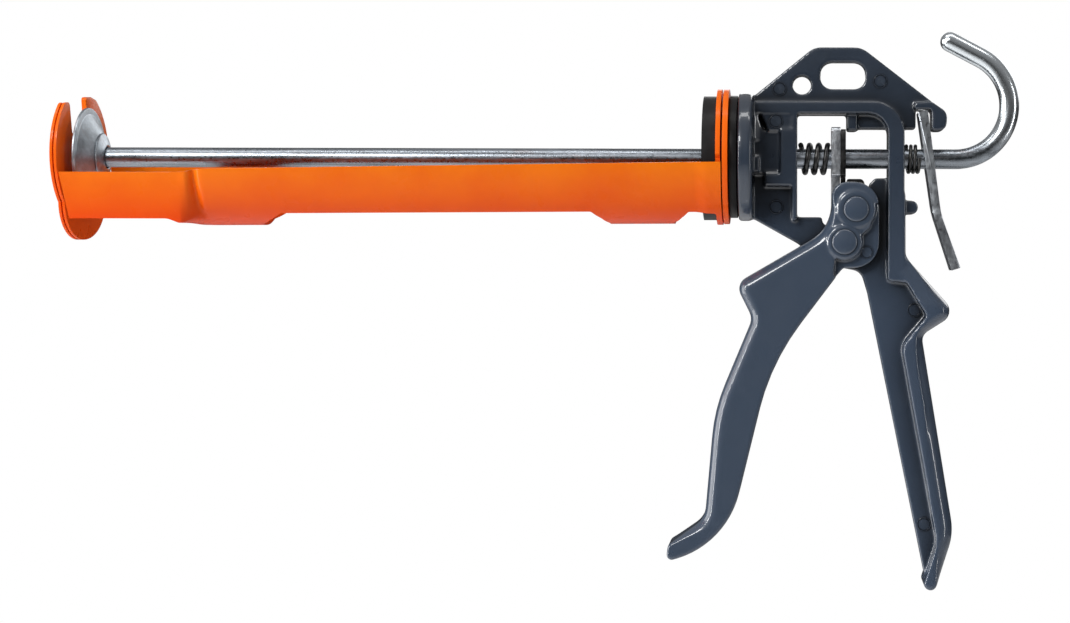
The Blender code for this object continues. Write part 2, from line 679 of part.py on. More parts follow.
def build():
    paint = new_material("painted_casting", PAINT, 0.3, 0.0)
    trigger_paint = new_material("painted_trigger", PAINT, 0.28, 0.0)
    orange = new_material("orange_paint", ORANGE, 0.28, 0.0)
    zinc = new_material("zinc_plate", ZINC, 0.35, 1.0)
    black = new_material("black_plastic", BLACK, 0.5, 0.0)
    steel = new_material("dark_steel", STEEL, 0.45, 1.0)

    cradle = new_empty("cradle_axis", (0.0, 0.0, COLLAR_Z), ROOT, (CRADLE_ROLL, 0.0, 0.0))
    plunger = new_empty("plunger_seat", (SEAT_X, 0.0, 0.0), ROOT, (0.0, 0.0, DISH_TILT))
    rod = new_empty("rod_axis", (0.0, 0.0, 0.0), ROOT)
    trigger = new_empty("trigger_axis", (PIVOT[0], 0.0, PIVOT[1]), ROOT)
    thrust = new_empty("thrust_axis", (THRUST[0], 0.0, THRUST[1]), ROOT)
    plates = new_empty("drive_plate_axis", (40.0, 0.0, 0.0), ROOT)
    lever = new_empty("lever_axis", (LEVER_PIVOT[0], 0.0, LEVER_PIVOT[1]), ROOT)

    frame_casting(paint)
    collar_drum(black)
    thrust_washer(black)
    for i, place in enumerate(screw_places()):
        collar_screw(i + 1, place, zinc)
    rivet("trigger_pivot_rivet", PIVOT, paint, ROOT)
    coil_spring("drive_spring", 24.9, 38.0, 3.0, 1.05, steel)
    coil_spring("release_spring", 67.8, 74.3, 2.75, 0.75, steel)

    cradle_trough(cradle, orange)
    nose_plate("nose_plate_inner", NOSE_INNER_X, 7.7, cradle, orange)
    nose_plate("nose_plate_outer", NOSE_OUTER_X, 9.6, cradle, orange)
    rear_plate_front(cradle, orange)
    rear_plate_back(cradle, orange)

    plunger_dish(plunger, zinc)
    plunger_hub(plunger, zinc)
    plunger_rivet(plunger, zinc)
    push_rod(rod, zinc)

    trigger_casting(trigger, trigger_paint)
    rivet("thrust_rivet", THRUST, trigger_paint, trigger)
    thrust_block(thrust, black)
    drive_plate("drive_plate_front", 38.3, 41.8, 8.0, 12.4, -20.0, plates, zinc)
    drive_plate("drive_plate_rear", 42.1, 44.0, 7.4, 11.6, -18.0, plates, steel)
    release_lever(lever, zinc)


build()
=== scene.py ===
"""The looks of the caulking gun: finer castings, sheet metal and springs, their materials, and the studio.

Shapes are given in millimetres in the gun's own frame: +X runs from the nose to the hook, +Z is up, and
the rod's axis is X at Z = 0. They become meshes in metres in the row frame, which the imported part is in.
"""

import json
import math

import bmesh
import bpy
from mathutils import Matrix, Vector

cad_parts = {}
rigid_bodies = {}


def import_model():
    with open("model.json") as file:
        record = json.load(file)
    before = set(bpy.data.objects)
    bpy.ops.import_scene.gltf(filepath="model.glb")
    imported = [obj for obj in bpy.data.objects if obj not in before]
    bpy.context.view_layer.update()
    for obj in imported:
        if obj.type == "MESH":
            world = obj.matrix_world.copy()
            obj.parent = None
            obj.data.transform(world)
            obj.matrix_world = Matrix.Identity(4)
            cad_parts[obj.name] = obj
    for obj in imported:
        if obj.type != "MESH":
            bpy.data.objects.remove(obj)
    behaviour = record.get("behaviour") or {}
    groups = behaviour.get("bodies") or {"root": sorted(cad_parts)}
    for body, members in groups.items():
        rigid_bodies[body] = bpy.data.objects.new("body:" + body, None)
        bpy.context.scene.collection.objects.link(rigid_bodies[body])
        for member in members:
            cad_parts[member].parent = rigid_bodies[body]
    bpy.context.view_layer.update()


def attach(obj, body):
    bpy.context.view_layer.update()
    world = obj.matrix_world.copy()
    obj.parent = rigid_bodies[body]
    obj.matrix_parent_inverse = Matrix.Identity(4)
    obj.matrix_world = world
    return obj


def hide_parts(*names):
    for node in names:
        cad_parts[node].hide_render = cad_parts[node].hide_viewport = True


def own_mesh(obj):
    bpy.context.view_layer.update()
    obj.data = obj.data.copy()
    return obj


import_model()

MM = 0.001
GRIP_CENTRE = Vector((68.0, 0.0, -95.0))
GUN_TO_ROW = Matrix.Translation(-GRIP_CENTRE * MM)
ARC_STEP = math.radians(5)
ROUND_STEPS = 72
GAP = 0.3

# Push rod and its pull hook
ROD_R = 4.0
HOOK_R = 21.7
HOOK_START_X = 88.3
HOOK_TURN = math.radians(152.4)
HOOK_TAIL = 13.8
SHOULDER_X = -254.9

# Plunger
SEAT_X = -255.2
DISH_R = 19.8
DISH_TILT = math.radians(3.5)
SPIGOT_R = 2.5
SLACK = 0.45

# Collar: the drum, washer and flange that the cradle turns between
COLLAR_Z = 0.7
DRUM_R = 24.9
DRUM_X = (-12.8, -7.5)
DRUM_Z = 0.1
SCREW_SEAT_X = -10.4
HUB_R = 15.0
PLATE_R = 27.1
FLANGE_R = 25.8
FLANGE_X = (1.1, 6.9)
SCREW_CIRCLE_R = 10.5
SCREW_R = 2.0

# Cradle
CRADLE_ROLL = math.radians(9)
TROUGH_R = 27.55
TROUGH_TAPER = 0.7
FLARE = 0.5
FLARE_X = (-16.0, -10.0)
SHEET = 1.2
RAIL_START_X = -262.8
ARM_END_X = -217.5
ROUND_START_X = -208.5
ARM_SHARE = 0.56
TROUGH_END_X = -5.2
NOSE_INNER_X = -263.8
NOSE_OUTER_X = -265.4
NOSE_R = 26.6
NOSE_TOP = 22.8
LOBE_DEPTH = 7.4
LOBE_SPREAD = 52
NOTCH_HALF = 6.0
NOTCH_STEP = 9.5
NOTCH_SHIFT = -1.8

# Frame casting
WEB = 3.0
CHEEK = 7.6
RIB = 8.0
PALM = 10.0
ROD_BORE_R = 4.5
POST_X = (60.9, 67.5)
WALL_X = 24.6

# Trigger and its linkage
PIVOT = (43.5, -33.6)
THRUST = (48.1, -20.5)
TRIGGER_HALF = 10.0
BOSS_HALF = 10.8
CHANNEL_HALF = 3.6
HOLLOW_HALF = 6.6
RECESS_FLOOR = 7.3
RECESS_CUT = 2.6
RIVET_R = 3.0
HEAD_R = 4.9
HEAD_HALF = 11.4
LEVER_HALF = 7.0

# Castings are remeshed and smoothed, which leaves the soft fillets of a die-cast part
VOXEL = 0.42
FILLET_ROUNDS = 20
TRIGGER_VOXEL = 0.38
TRIGGER_ROUNDS = 14
PALM_SLAB_VOXEL = 0.5
TRIGGER_SLAB_VOXEL = 0.6


# ---------------------------------------------------------------- shape helpers

WORK = bpy.data.collections.new("work")
bpy.context.scene.collection.children.link(WORK)


def place_mesh(name, mesh, location=(0.0, 0.0, 0.0), rotation=(0.0, 0.0, 0.0)):
    """A working body in the gun's own frame, in metres."""
    obj = bpy.data.objects.new("work_" + name, mesh)
    WORK.objects.link(obj)
    obj.location = Vector(location) * MM
    obj.rotation_euler = rotation
    return obj


def arc(radius, start, end, steps, centre=(0.0, 0.0)):
    """Points on a circle's arc, with angles in degrees."""
    turns = [math.radians(start + (end - start) * i / steps) for i in range(steps + 1)]
    return [(centre[0] + radius * math.cos(t), centre[1] + radius * math.sin(t)) for t in turns]


def rounded(corners):
    """An outline through (x, z, radius) corners, each rounded to its radius."""
    points = []
    for i, (x, z, radius) in enumerate(corners):
        here = Vector((x, z))
        before = (Vector(corners[i - 1][:2]) - here).normalized()
        after = (Vector(corners[(i + 1) % len(corners)][:2]) - here).normalized()
        turn = math.pi - before.angle(after)
        if radius == 0 or turn < 0.01:
            points.append((x, z))
            continue
        reach = radius * math.tan(turn / 2)
        centre = here + (before + after).normalized() * radius / math.cos(turn / 2)
        first = here + before * reach - centre
        last = here + after * reach - centre
        steps = max(2, math.ceil(turn / ARC_STEP))
        for k in range(steps + 1):
            share = k / steps
            mixed = first * math.sin((1 - share) * turn) + last * math.sin(share * turn)
            points.append(tuple(centre + mixed / math.sin(turn)))
    return points


def between(value, stops):
    """The height of a line through (value, height) stops, which fall in value."""
    for (high, first), (low, last) in zip(stops, stops[1:]):
        if value >= low:
            share = min(1.0, (high - value) / (high - low))
            return first + (last - first) * max(0.0, share)
    return stops[-1][1]


def evaluated(obj):
    """A copy of the body's mesh with its modifiers applied and its caps welded on."""
    graph = bpy.context.evaluated_depsgraph_get()
    mesh = bpy.data.meshes.new_from_object(obj.evaluated_get(graph))
    work = bmesh.new()
    work.from_mesh(mesh)
    bmesh.ops.remove_doubles(work, verts=work.verts, dist=1e-6)
    bmesh.ops.recalc_face_normals(work, faces=work.faces)
    work.to_mesh(mesh)
    work.free()
    return mesh


def mesh_from_curve(name, curve, rotation=(0.0, 0.0, 0.0), location=(0.0, 0.0, 0.0)):
    helper = bpy.data.objects.new(name + "_curve", curve)
    WORK.objects.link(helper)
    mesh = evaluated(helper)
    bpy.data.objects.remove(helper, do_unlink=True)
    return place_mesh(name, mesh, location, rotation)


def flat(name, outline, half, holes=(), centre=0.0, across="Y"):
    """An outline given thickness: (x, z) points along Y, (y, z) points along X, or (x, y) points along Z."""
    curve = bpy.data.curves.new(name, "CURVE")
    curve.dimensions = "2D"
    curve.fill_mode = "BOTH"
    curve.extrude = half * MM
    for points in (outline, *holes):
        spline = curve.splines.new("POLY")
        spline.points.add(len(points) - 1)
        for point, (u, v) in zip(spline.points, points):
            point.co = (u * MM, v * MM, 0.0, 1.0)
        spline.use_cyclic_u = True
    if across == "Y":
        return mesh_from_curve(name, curve, (math.pi / 2, 0.0, 0.0), (0.0, centre, 0.0))
    if across == "Z":
        return mesh_from_curve(name, curve, (0.0, 0.0, 0.0), (0.0, 0.0, centre))
    return mesh_from_curve(name, curve, (math.pi / 2, 0.0, math.pi / 2), (centre, 0.0, 0.0))


def split_up(outline, longest):
    """The outline's points, with more on each straight stretch that is longer than this."""
    points = []
    for (x, z), (next_x, next_z) in zip(outline, outline[1:] + outline[:1]):
        steps = max(1, math.ceil(math.hypot(next_x - x, next_z - z) / longest))
        points += [(x + (next_x - x) * i / steps, z + (next_z - z) * i / steps) for i in range(steps)]
    return points


def inward(points):
    """The unit directions into the outline at each of its points."""
    area = sum(x * next_z - next_x * z for (x, z), (next_x, next_z) in zip(points, points[1:] + points[:1]))
    turn = 1 if area > 0 else -1
    directions = []
    for before, after in zip(points[-1:] + points[:-1], points[1:] + points[:1]):
        along = Vector(after) - Vector(before)
        directions.append(Vector((-along.y, along.x)).normalized() * turn)
    return directions


def rounded_slab(name, outline, half, depth, reach, steps=9):
    """An outline given thickness along Y, whose rims are rounded inwards by reach(x, z) over this depth."""
    points = split_up(outline, 1.5)
    directions = inward(points)
    reaches = [reach(x, z) for x, z in points]
    levels = []
    for i in range(steps + 1):
        turn = math.pi / 2 * i / steps
        levels.append((-half + depth * (1 - math.cos(turn)), 1 - math.sin(turn)))
    levels += [(-y, share) for y, share in reversed(levels)]
    mesh = bpy.data.meshes.new(name)
    work = bmesh.new()
    rings = []
    for y, share in levels:
        inset = [Vector(point) + way * far * share for point, way, far in zip(points, directions, reaches)]
        rings.append([work.verts.new((x * MM, y * MM, z * MM)) for x, z in inset])
    for ring, ahead in zip(rings, rings[1:]):
        for i in range(len(points)):
            work.faces.new((ring[i - 1], ring[i], ahead[i], ahead[i - 1]))
    caps = [work.faces.new(rings[0]), work.faces.new(rings[-1])]
    bmesh.ops.triangulate(work, faces=caps)
    bmesh.ops.recalc_face_normals(work, faces=work.faces)
    work.to_mesh(mesh)
    work.free()
    return place_mesh(name, mesh)


def turned(name, profile, ring=False, steps=ROUND_STEPS, place=(0.0, 0.0, 0.0), along="X"):
    """A body of revolution from (distance along, radius) points, outer side first, far end to near end."""
    mesh = bpy.data.meshes.new(name)
    work = bmesh.new()
    verts = [work.verts.new((radius * MM, 0.0, distance * MM)) for distance, radius in profile]
    for first, second in zip(verts, verts[1:]):
        work.edges.new((first, second))
    if ring:
        work.edges.new((verts[-1], verts[0]))
    work.to_mesh(mesh)
    work.free()
    rotation = (0.0, math.pi / 2, 0.0) if along == "X" else (-math.pi / 2, 0.0, 0.0)
    obj = place_mesh(name, mesh, place, rotation)
    screw = obj.modifiers.new("turn", "SCREW")
    screw.steps = steps
    screw.render_steps = steps
    screw.use_merge_vertices = True
    screw.merge_threshold = 0.00001
    return obj


def box(name, low, high):
    size = Vector(high) - Vector(low)
    mesh = bpy.data.meshes.new(name)
    work = bmesh.new()
    bmesh.ops.create_cube(work, size=1.0)
    bmesh.ops.scale(work, vec=size * MM, verts=work.verts)
    work.to_mesh(mesh)
    work.free()
    return place_mesh(name, mesh, (Vector(low) + Vector(high)) / 2)


def hull(name, corners):
    """The closed body that is stretched over a few points."""
    mesh = bpy.data.meshes.new(name)
    work = bmesh.new()
    verts = [work.verts.new(Vector(corner) * MM) for corner in corners]
    bmesh.ops.convex_hull(work, input=verts)
    bmesh.ops.recalc_face_normals(work, faces=work.faces)
    work.to_mesh(mesh)
    work.free()
    return place_mesh(name, mesh)


def cylinder(name, radius, start, end, place=(0.0, 0.0, 0.0), along="X", steps=48):
    """A plain round bar that runs from start to end along X or Y, moved by place."""
    mesh = bpy.data.meshes.new(name)
    work = bmesh.new()
    size = {"radius1": radius * MM, "radius2": radius * MM, "depth": (end - start) * MM}
    bmesh.ops.create_cone(work, cap_ends=True, segments=steps, **size)
    work.to_mesh(mesh)
    work.free()
    middle = Vector(place)
    middle["XYZ".index(along)] += (start + end) / 2
    rotation = (0.0, math.pi / 2, 0.0) if along == "X" else (-math.pi / 2, 0.0, 0.0)
    return place_mesh(name, mesh, middle, rotation)


def wire(name, points, radius, sides):
    """A round wire through (x, y, z, share of the radius) points, with flat caps."""
    curve = bpy.data.curves.new(name, "CURVE")
    curve.dimensions = "3D"
    curve.bevel_depth = radius * MM
    curve.bevel_resolution = sides
    curve.use_fill_caps = True
    spline = curve.splines.new("POLY")
    spline.points.add(len(points) - 1)
    for point, (x, y, z, share) in zip(spline.points, points):
        point.co = (x * MM, y * MM, z * MM, 1.0)
        point.radius = share
    return mesh_from_curve(name, curve)


def combine(target, others, operation):
    for other in others:
        modifier = target.modifiers.new(operation.lower(), "BOOLEAN")
        modifier.operation = operation
        modifier.solver = "EXACT"
        modifier.object = other


def join(target, *others):
    combine(target, others, "UNION")


def cut(target, *others):
    combine(target, others, "DIFFERENCE")


def gather(name, *bodies):
    """One mesh that holds several overlapping closed bodies, which fuse() or cast() makes one skin."""
    mesh = bpy.data.meshes.new(name)
    work = bmesh.new()
    for body in bodies:
        part = evaluated(body)
        part.transform(body.matrix_world)
        work.from_mesh(part)
    work.to_mesh(mesh)
    work.free()
    return place_mesh(name, mesh)


def ease(obj, width, segments=2, angle=40):
    """Breaks the sharp edges of a machined or pressed body."""
    bevel = obj.modifiers.new("ease", "BEVEL")
    bevel.limit_method = "ANGLE"
    bevel.angle_limit = math.radians(angle)
    bevel.width = width * MM
    bevel.segments = segments
    bevel.miter_outer = "MITER_ARC"
    bevel.use_clamp_overlap = True


def fuse(obj, voxel):
    """Remeshes a body evenly, which also makes overlapping bodies one."""
    remesh = obj.modifiers.new("even", "REMESH")
    remesh.mode = "VOXEL"
    remesh.voxel_size = voxel * MM
    remesh.adaptivity = 0.0


def cast(obj, voxel=VOXEL, rounds=FILLET_ROUNDS):
    """Fuses a body and smooths it, so that every corner gets a casting's fillet."""
    fuse(obj, voxel)
    smooth = obj.modifiers.new("fillets", "SMOOTH")
    smooth.factor = 0.5
    smooth.iterations = rounds


def piece(name, obj, body, material, nodes=(), matrix=None, crease=35):
    """Turns a working body into a finished mesh in the row frame that rides on a CAD body."""
    mesh = evaluated(obj)
    mesh.name = name
    mesh.transform(obj.matrix_world)
    if matrix is not None:
        mesh.transform(matrix)
    mesh.transform(GUN_TO_ROW)
    mesh.materials.clear()
    mesh.materials.append(material)
    mesh.polygons.foreach_set("use_smooth", [True] * len(mesh.polygons))
    mesh.set_sharp_from_angle(angle=math.radians(crease))
    made = bpy.data.objects.new(name, mesh)
    bpy.context.scene.collection.objects.link(made)
    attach(made, body)
    if nodes:
        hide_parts(*nodes)
    return made


def clear_work():
    """Removes the working bodies once their pieces are made."""
    for obj in list(WORK.objects):
        bpy.data.objects.remove(obj, do_unlink=True)


# ---------------------------------------------------------------- materials


class Nodes:
    """A short way to write a material's node tree."""

    def __init__(self, name):
        self.material = bpy.data.materials.new(name)
        self.material.use_nodes = True
        self.tree = self.material.node_tree
        self.shader = self.tree.nodes["Principled BSDF"]
        self.place = self.tree.nodes.new("ShaderNodeTexCoord").outputs["Object"]

    def link(self, source, target):
        self.tree.links.new(source, target)

    def scaled(self, scale):
        """Object coordinates stretched by a scale along each axis."""
        node = self.tree.nodes.new("ShaderNodeMapping")
        node.inputs["Scale"].default_value = scale
        self.link(self.place, node.inputs["Vector"])
        return node.outputs["Vector"]

    def height(self):
        node = self.tree.nodes.new("ShaderNodeSeparateXYZ")
        self.link(self.place, node.inputs["Vector"])
        return node.outputs["Z"]

    def noise(self, scale, detail=2.0, rough=0.5, stretch=None):
        node = self.tree.nodes.new("ShaderNodeTexNoise")
        node.inputs["Scale"].default_value = scale
        node.inputs["Detail"].default_value = detail
        node.inputs["Roughness"].default_value = rough
        self.link(self.scaled(stretch) if stretch else self.place, node.inputs["Vector"])
        return node.outputs["Fac"]

    def spread(self, value, low, high, to_low=0.0, to_high=1.0):
        """The value's range from low to high, spread over another range."""
        node = self.tree.nodes.new("ShaderNodeMapRange")
        for name, number in (("From Min", low), ("From Max", high), ("To Min", to_low), ("To Max", to_high)):
            node.inputs[name].default_value = number
        self.link(value, node.inputs["Value"])
        return node.outputs["Result"]

    def maths(self, operation, first, second):
        node = self.tree.nodes.new("ShaderNodeMath")
        node.operation = operation
        node.use_clamp = False
        for socket, value in zip(node.inputs, (first, second)):
            if isinstance(value, (int, float)):
                socket.default_value = value
            else:
                self.link(value, socket)
        return node.outputs["Value"]

    def mix(self, share, first, second):
        """A colour between two others."""
        node = self.tree.nodes.new("ShaderNodeMix")
        node.data_type = "RGBA"
        self.link(share, node.inputs["Factor"])
        for socket, value in ((node.inputs["A"], first), (node.inputs["B"], second)):
            if isinstance(value, tuple):
                socket.default_value = (*value, 1.0)
            else:
                self.link(value, socket)
        return node.outputs["Result"]

    def edges(self, low, high):
        """How far a point lies on an outer edge, from the mesh's pointiness."""
        node = self.tree.nodes.new("ShaderNodeNewGeometry")
        return self.spread(node.outputs["Pointiness"], low, high)

    def open_share(self, distance, low, high):
        """How open a point is to its surroundings within a distance: 0 deep in a corner, 1 on a free face."""
        node = self.tree.nodes.new("ShaderNodeAmbientOcclusion")
        node.inputs["Distance"].default_value = distance
        return self.spread(node.outputs["AO"], low, high)

    def bump(self, height, distance, strength=1.0):
        node = self.tree.nodes.new("ShaderNodeBump")
        node.inputs["Distance"].default_value = distance
        node.inputs["Strength"].default_value = strength
        self.link(height, node.inputs["Height"])
        self.link(node.outputs["Normal"], self.shader.inputs["Normal"])

    def finish(self, **sockets):
        for name, value in sockets.items():
            socket = self.shader.inputs[name.replace("_", " ")]
            if isinstance(value, tuple):
                socket.default_value = (*value, 1.0)
            elif isinstance(value, (int, float)):
                socket.default_value = value
            else:
                self.link(value, socket)
        return self.material


def paint(name, deep, light, worn, painted_light_factor=1.0, wear=0.35):
    """Gloss enamel over a die casting: orange peel, mottling, painted shade in its corners and a pale line on
    rubbed edges.
    Its lower part is painted lighter by a given factor: painted light, brighter towards the bottom."""
    n = Nodes(name)
    mottle = n.spread(n.noise(55.0, 4.0, 0.6), 0.3, 0.7)
    colour = n.mix(mottle, deep, light)
    painted_light_colour = tuple(value * painted_light_factor for value in light)
    # Painted light: the lower part of the casting is made lighter than its upper part, brighter towards the
    # bottom.
    colour = n.mix(n.spread(n.height(), 0.03, 0.11, 1.0, 0.0), colour, painted_light_colour)
    chips = n.spread(n.noise(420.0, 3.0, 0.6), 0.42, 0.62)
    rubbed = n.maths("MULTIPLY", n.edges(0.53, 0.62), chips)
    colour = n.mix(n.maths("MULTIPLY", rubbed, wear), colour, worn)
    # Painted shade: corners and recesses closed in by nearby surfaces are darkened towards a fifth of the
    # deep tone.
    shade = tuple(value * 0.2 for value in deep)
    colour = n.mix(n.open_share(0.014, 0.42, 0.97), shade, colour)
    peel = n.noise(650.0, 2.0, 0.5)
    grit = n.noise(2600.0, 1.0, 0.5)
    height = n.maths("ADD", peel, n.maths("MULTIPLY", grit, 0.12))
    n.bump(height, 0.00007, 0.55)
    gloss = n.spread(n.noise(90.0, 4.0, 0.6), 0.3, 0.7, 0.27, 0.40)
    return n.finish(
        Base_Color=colour, Roughness=gloss, Coat_Weight=1.0, Coat_Roughness=0.045, Specular_IOR_Level=0.4
    )


def orange_enamel(name, top, bottom, low, high):
    """Baked orange enamel on pressed steel, with a light orange peel, painted lighter at the top and deeper
    and redder lower down: painted shade.
    """
    n = Nodes(name)
    # Painted shade: by height the colour runs from the top tone down to the deeper, redder bottom tone.
    colour = n.mix(n.spread(n.height(), low, high), bottom, top)
    darker = tuple(value * 0.9 for value in bottom)
    colour = n.mix(n.spread(n.noise(38.0, 4.0, 0.55), 0.45, 0.8, 0.0, 0.35), colour, darker)
    n.bump(n.noise(520.0, 2.0, 0.5), 0.00006, 0.5)
    gloss = n.spread(n.noise(70.0, 3.0, 0.6), 0.3, 0.7, 0.24, 0.34)
    return n.finish(
        Base_Color=colour, Roughness=gloss, Coat_Weight=0.1, Coat_Roughness=0.05, Specular_IOR_Level=0.08
    )


def zinc(name, stretch, light, dark, rough, bend_and_sheen_heights=None):
    """Zinc-plated steel: drawn streaks, dull mottled patches and a faint brown passivation.
    Between two given heights the marks die out where the bar was bent, and above them the colour turns a pale
    even grey: a painted highlight on the hook."""
    n = Nodes(name)
    marks_versus_painted_sheen = n.spread(n.height(), *bend_and_sheen_heights, 1.0, 0.1) if bend_and_sheen_heights else 1.0
    broad = tuple(value * 0.35 for value in stretch)
    blotchy = tuple(value * 0.8 + 60.0 for value in stretch)
    fine = tuple(value * 2.2 for value in stretch)
    streaks = n.noise(1.0, 5.0, 0.65, stretch)
    colour = n.mix(n.spread(streaks, 0.34, 0.66), dark, light)
    stain = n.spread(n.noise(1.0, 5.0, 0.75, blotchy), 0.55, 0.72, 0.0, 0.45)
    colour = n.mix(stain, colour, (0.30, 0.22, 0.19))
    dull = n.spread(n.noise(1.0, 6.0, 0.7, broad), 0.36, 0.66, 0.0, 0.16)
    colour = n.mix(dull, colour, dark)
    # Painted highlight: above the given heights the hook's colour turns a pale even grey, and its marks die
    # out.
    if bend_and_sheen_heights:
        colour = n.mix(marks_versus_painted_sheen, (0.82, 0.87, 0.90), colour)
    low, high = rough
    wear = n.maths("MULTIPLY", n.spread(n.maths("ADD", streaks, n.noise(900.0, 2.0, 0.5)), 0.7, 1.3), marks_versus_painted_sheen)
    gloss = n.spread(wear, 0.0, 1.0, low, high)
    scratches = n.maths("ADD", n.noise(1.0, 4.0, 0.6, fine), n.noise(1500.0, 1.0))
    n.bump(n.maths("MULTIPLY", scratches, marks_versus_painted_sheen), 0.00005, 0.45)
    return n.finish(Base_Color=colour, Metallic=1.0, Roughness=gloss)


def oiled_steel(name):
    """Blackened spring steel with an oil film and a little bare metal on the crests."""
    n = Nodes(name)
    patches = n.spread(n.noise(260.0, 5.0, 0.65), 0.35, 0.65)
    colour = n.mix(patches, (0.035, 0.035, 0.037), (0.10, 0.098, 0.095))
    gloss = n.spread(n.noise(500.0, 3.0), 0.3, 0.7, 0.28, 0.45)
    n.bump(n.noise(1300.0, 2.0), 0.00003, 0.5)
    return n.finish(Base_Color=colour, Metallic=1.0, Roughness=gloss)


def black_moulding(name, rough=(0.36, 0.5)):
    """Black nylon with a fine spark-eroded grain."""
    n = Nodes(name)
    dust = n.spread(n.noise(120.0, 4.0, 0.6), 0.35, 0.7)
    colour = n.mix(dust, (0.010, 0.010, 0.010), (0.020, 0.020, 0.021))
    grain = n.maths("ADD", n.noise(1900.0, 2.0, 0.5), n.maths("MULTIPLY", n.noise(400.0, 2.0), 0.5))
    n.bump(grain, 0.00008, 0.5)
    gloss = n.spread(n.noise(160.0, 3.0, 0.6), 0.3, 0.7, *rough)
    return n.finish(Base_Color=colour, Roughness=gloss, Specular_IOR_Level=0.15)


# The frame's enamel is painted up to twice as light on its lower part, and the trigger's up to its light
# tone: painted light.
FRAME_PAINT = paint("frame_enamel", (0.018, 0.027, 0.042), (0.023, 0.033, 0.051), (0.16, 0.19, 0.24), 2.0)
TRIGGER_PAINT = paint("trigger_enamel", (0.038, 0.055, 0.084), (0.046, 0.065, 0.098), (0.18, 0.21, 0.27))
# Both oranges are painted lighter at the top and deeper and redder lower down: painted shade.
ORANGE = orange_enamel("plate_orange", (0.90, 0.150, 0.006), (0.82, 0.085, 0.006), 0.060, 0.115)
RAIL_ORANGE = orange_enamel("rail_orange", (0.88, 0.205, 0.006), (0.76, 0.045, 0.003), 0.066, 0.095)
# Above its last two heights the rod's hook gets a painted highlight, a pale even grey.
ROD_ZINC = zinc(
    "rod_zinc", (18.0, 420.0, 420.0), (0.46, 0.50, 0.55), (0.15, 0.165, 0.18), (0.22, 0.42), (0.099, 0.106)
)
PRESSED_ZINC = zinc(
    "pressed_zinc", (160.0, 160.0, 160.0), (0.58, 0.64, 0.69), (0.33, 0.36, 0.39), (0.3, 0.48)
)
PLATE_ZINC = zinc("plate_zinc", (900.0, 900.0, 500.0), (0.74, 0.77, 0.80), (0.40, 0.42, 0.45), (0.3, 0.45))
LEVER_ZINC = zinc("lever_zinc", (500.0, 500.0, 160.0), (0.72, 0.76, 0.80), (0.46, 0.49, 0.52), (0.26, 0.4))
DARK_STEEL = oiled_steel("oiled_steel")
BLACK = black_moulding("black_nylon")
DRUM_BLACK = black_moulding("drum_nylon", (0.30, 0.44))


# ---------------------------------------------------------------- frame casting


def frame_web():
    """The casting's middle plate, from the flange to the tip of the handle."""
    outline = rounded([
        (5.0, 23.4, 0), (31.3, 44.8, 8), (50.4, 44.8, 9), (84.7, 18.4, 4), (84.2, 11.2, 3),
        (78.3, 11.2, 1), (78.3, 19.6, 0.5), (72.2, 19.6, 0.5), (72.2, 11.8, 0), (65.0, 11.8, 0),
        (65.0, -36.0, 0), (70.0, -45.0, 0), (84.5, -61.0, 0), (83.0, -65.0, 0), (72.5, -70.0, 0),
        (70.5, -77.0, 0), (84.5, -150.0, 0), (79.5, -171.0, 0), (76.6, -170.0, 0),
        (52.9, -54.0, 5), (50.3, -45.4, 5), (43.1, -44.0, 4), (36.0, -44.6, 7),
        (25.0, -34.3, 0.5), (5.0, -23.2, 0),
    ])
    slot = rounded([(33.9, 28.0, 4.5), (51.9, 28.0, 4.5), (51.9, 38.7, 4.5), (33.9, 38.7, 4.5)])
    window = rounded([
        (WALL_X - 1, 17.5, 0), (44.3, 17.5, 0), (44.3, 11.8, 0), (62.0, 11.8, 0), (62.0, -7.8, 0),
        (55.9, -7.8, 0.5), (53.4, -10.3, 0.5), (53.4, -26.8, 2), (34.9, -26.8, 2), (34.6, -23.5, 0.5),
        (WALL_X - 1, -23.5, 0),
    ])
    return flat("web", outline, WEB, (slot, arc(3.7, 360, 8, 44, (26.4, 29.5)), window))


def rib_and_post():
    """The proud band over the window, which turns down into the rear post."""
    outline = rounded([
        (6.0, 22.6, 0), (POST_X[1], 22.6, 13), (POST_X[1], -45.0, 0), (70.0, -50.0, 0),
        (POST_X[0], -49.0, 1), (POST_X[0], 17.8, 8), (6.0, 17.8, 0),
    ])
    return flat("rib_and_post", outline, RIB)


def palm_strip():
    """The wide back of the handle, with the spur that stops the hand from sliding up."""
    outline = rounded([
        (66.9, -32.0, 0), (68.1, -39.5, 8), (88.6, -62.1, 5.0), (74.7, -70.9, 4), (87.7, -150.5, 24),
        (79.6, -175.0, 3), (75.1, -170.5, 2), (80.8, -154.0, 12), (66.4, -75.0, 7), (76.5, -63.0, 1.5),
        (65.6, -45.0, 4), (65.0, -32.0, 0),
    ])
    middle = [(-45.0, 69.3), (-63.0, 82.3), (-70.0, 73.3), (-75.0, 71.0), (-154.0, 84.0), (-170.0, 78.0)]
    widest = [(-40.0, 0.0), (-52.0, 4.2), (-68.0, 4.2), (-82.0, 7.0), (-160.0, 6.0), (-173.0, 0.0)]

    def reach(x, z):
        return between(z, widest) * min(1.0, max(0.0, (x - between(z, middle)) / 1.5))

    strip = gather("palm_strip", rounded_slab("palm_slab", outline, PALM, 7.5, reach))
    fuse(strip, PALM_SLAB_VOXEL)
    wedge = [(6.0, -30.0), (PALM + 1, -30.0), (PALM + 1, -66.0), (8.6, -48.0)]
    for side in (-1, 1):
        cut(strip, hull(f"palm_taper_{side}", [(x, side * y, z) for y, z in wedge for x in (60.0, 95.0)]))
    return strip


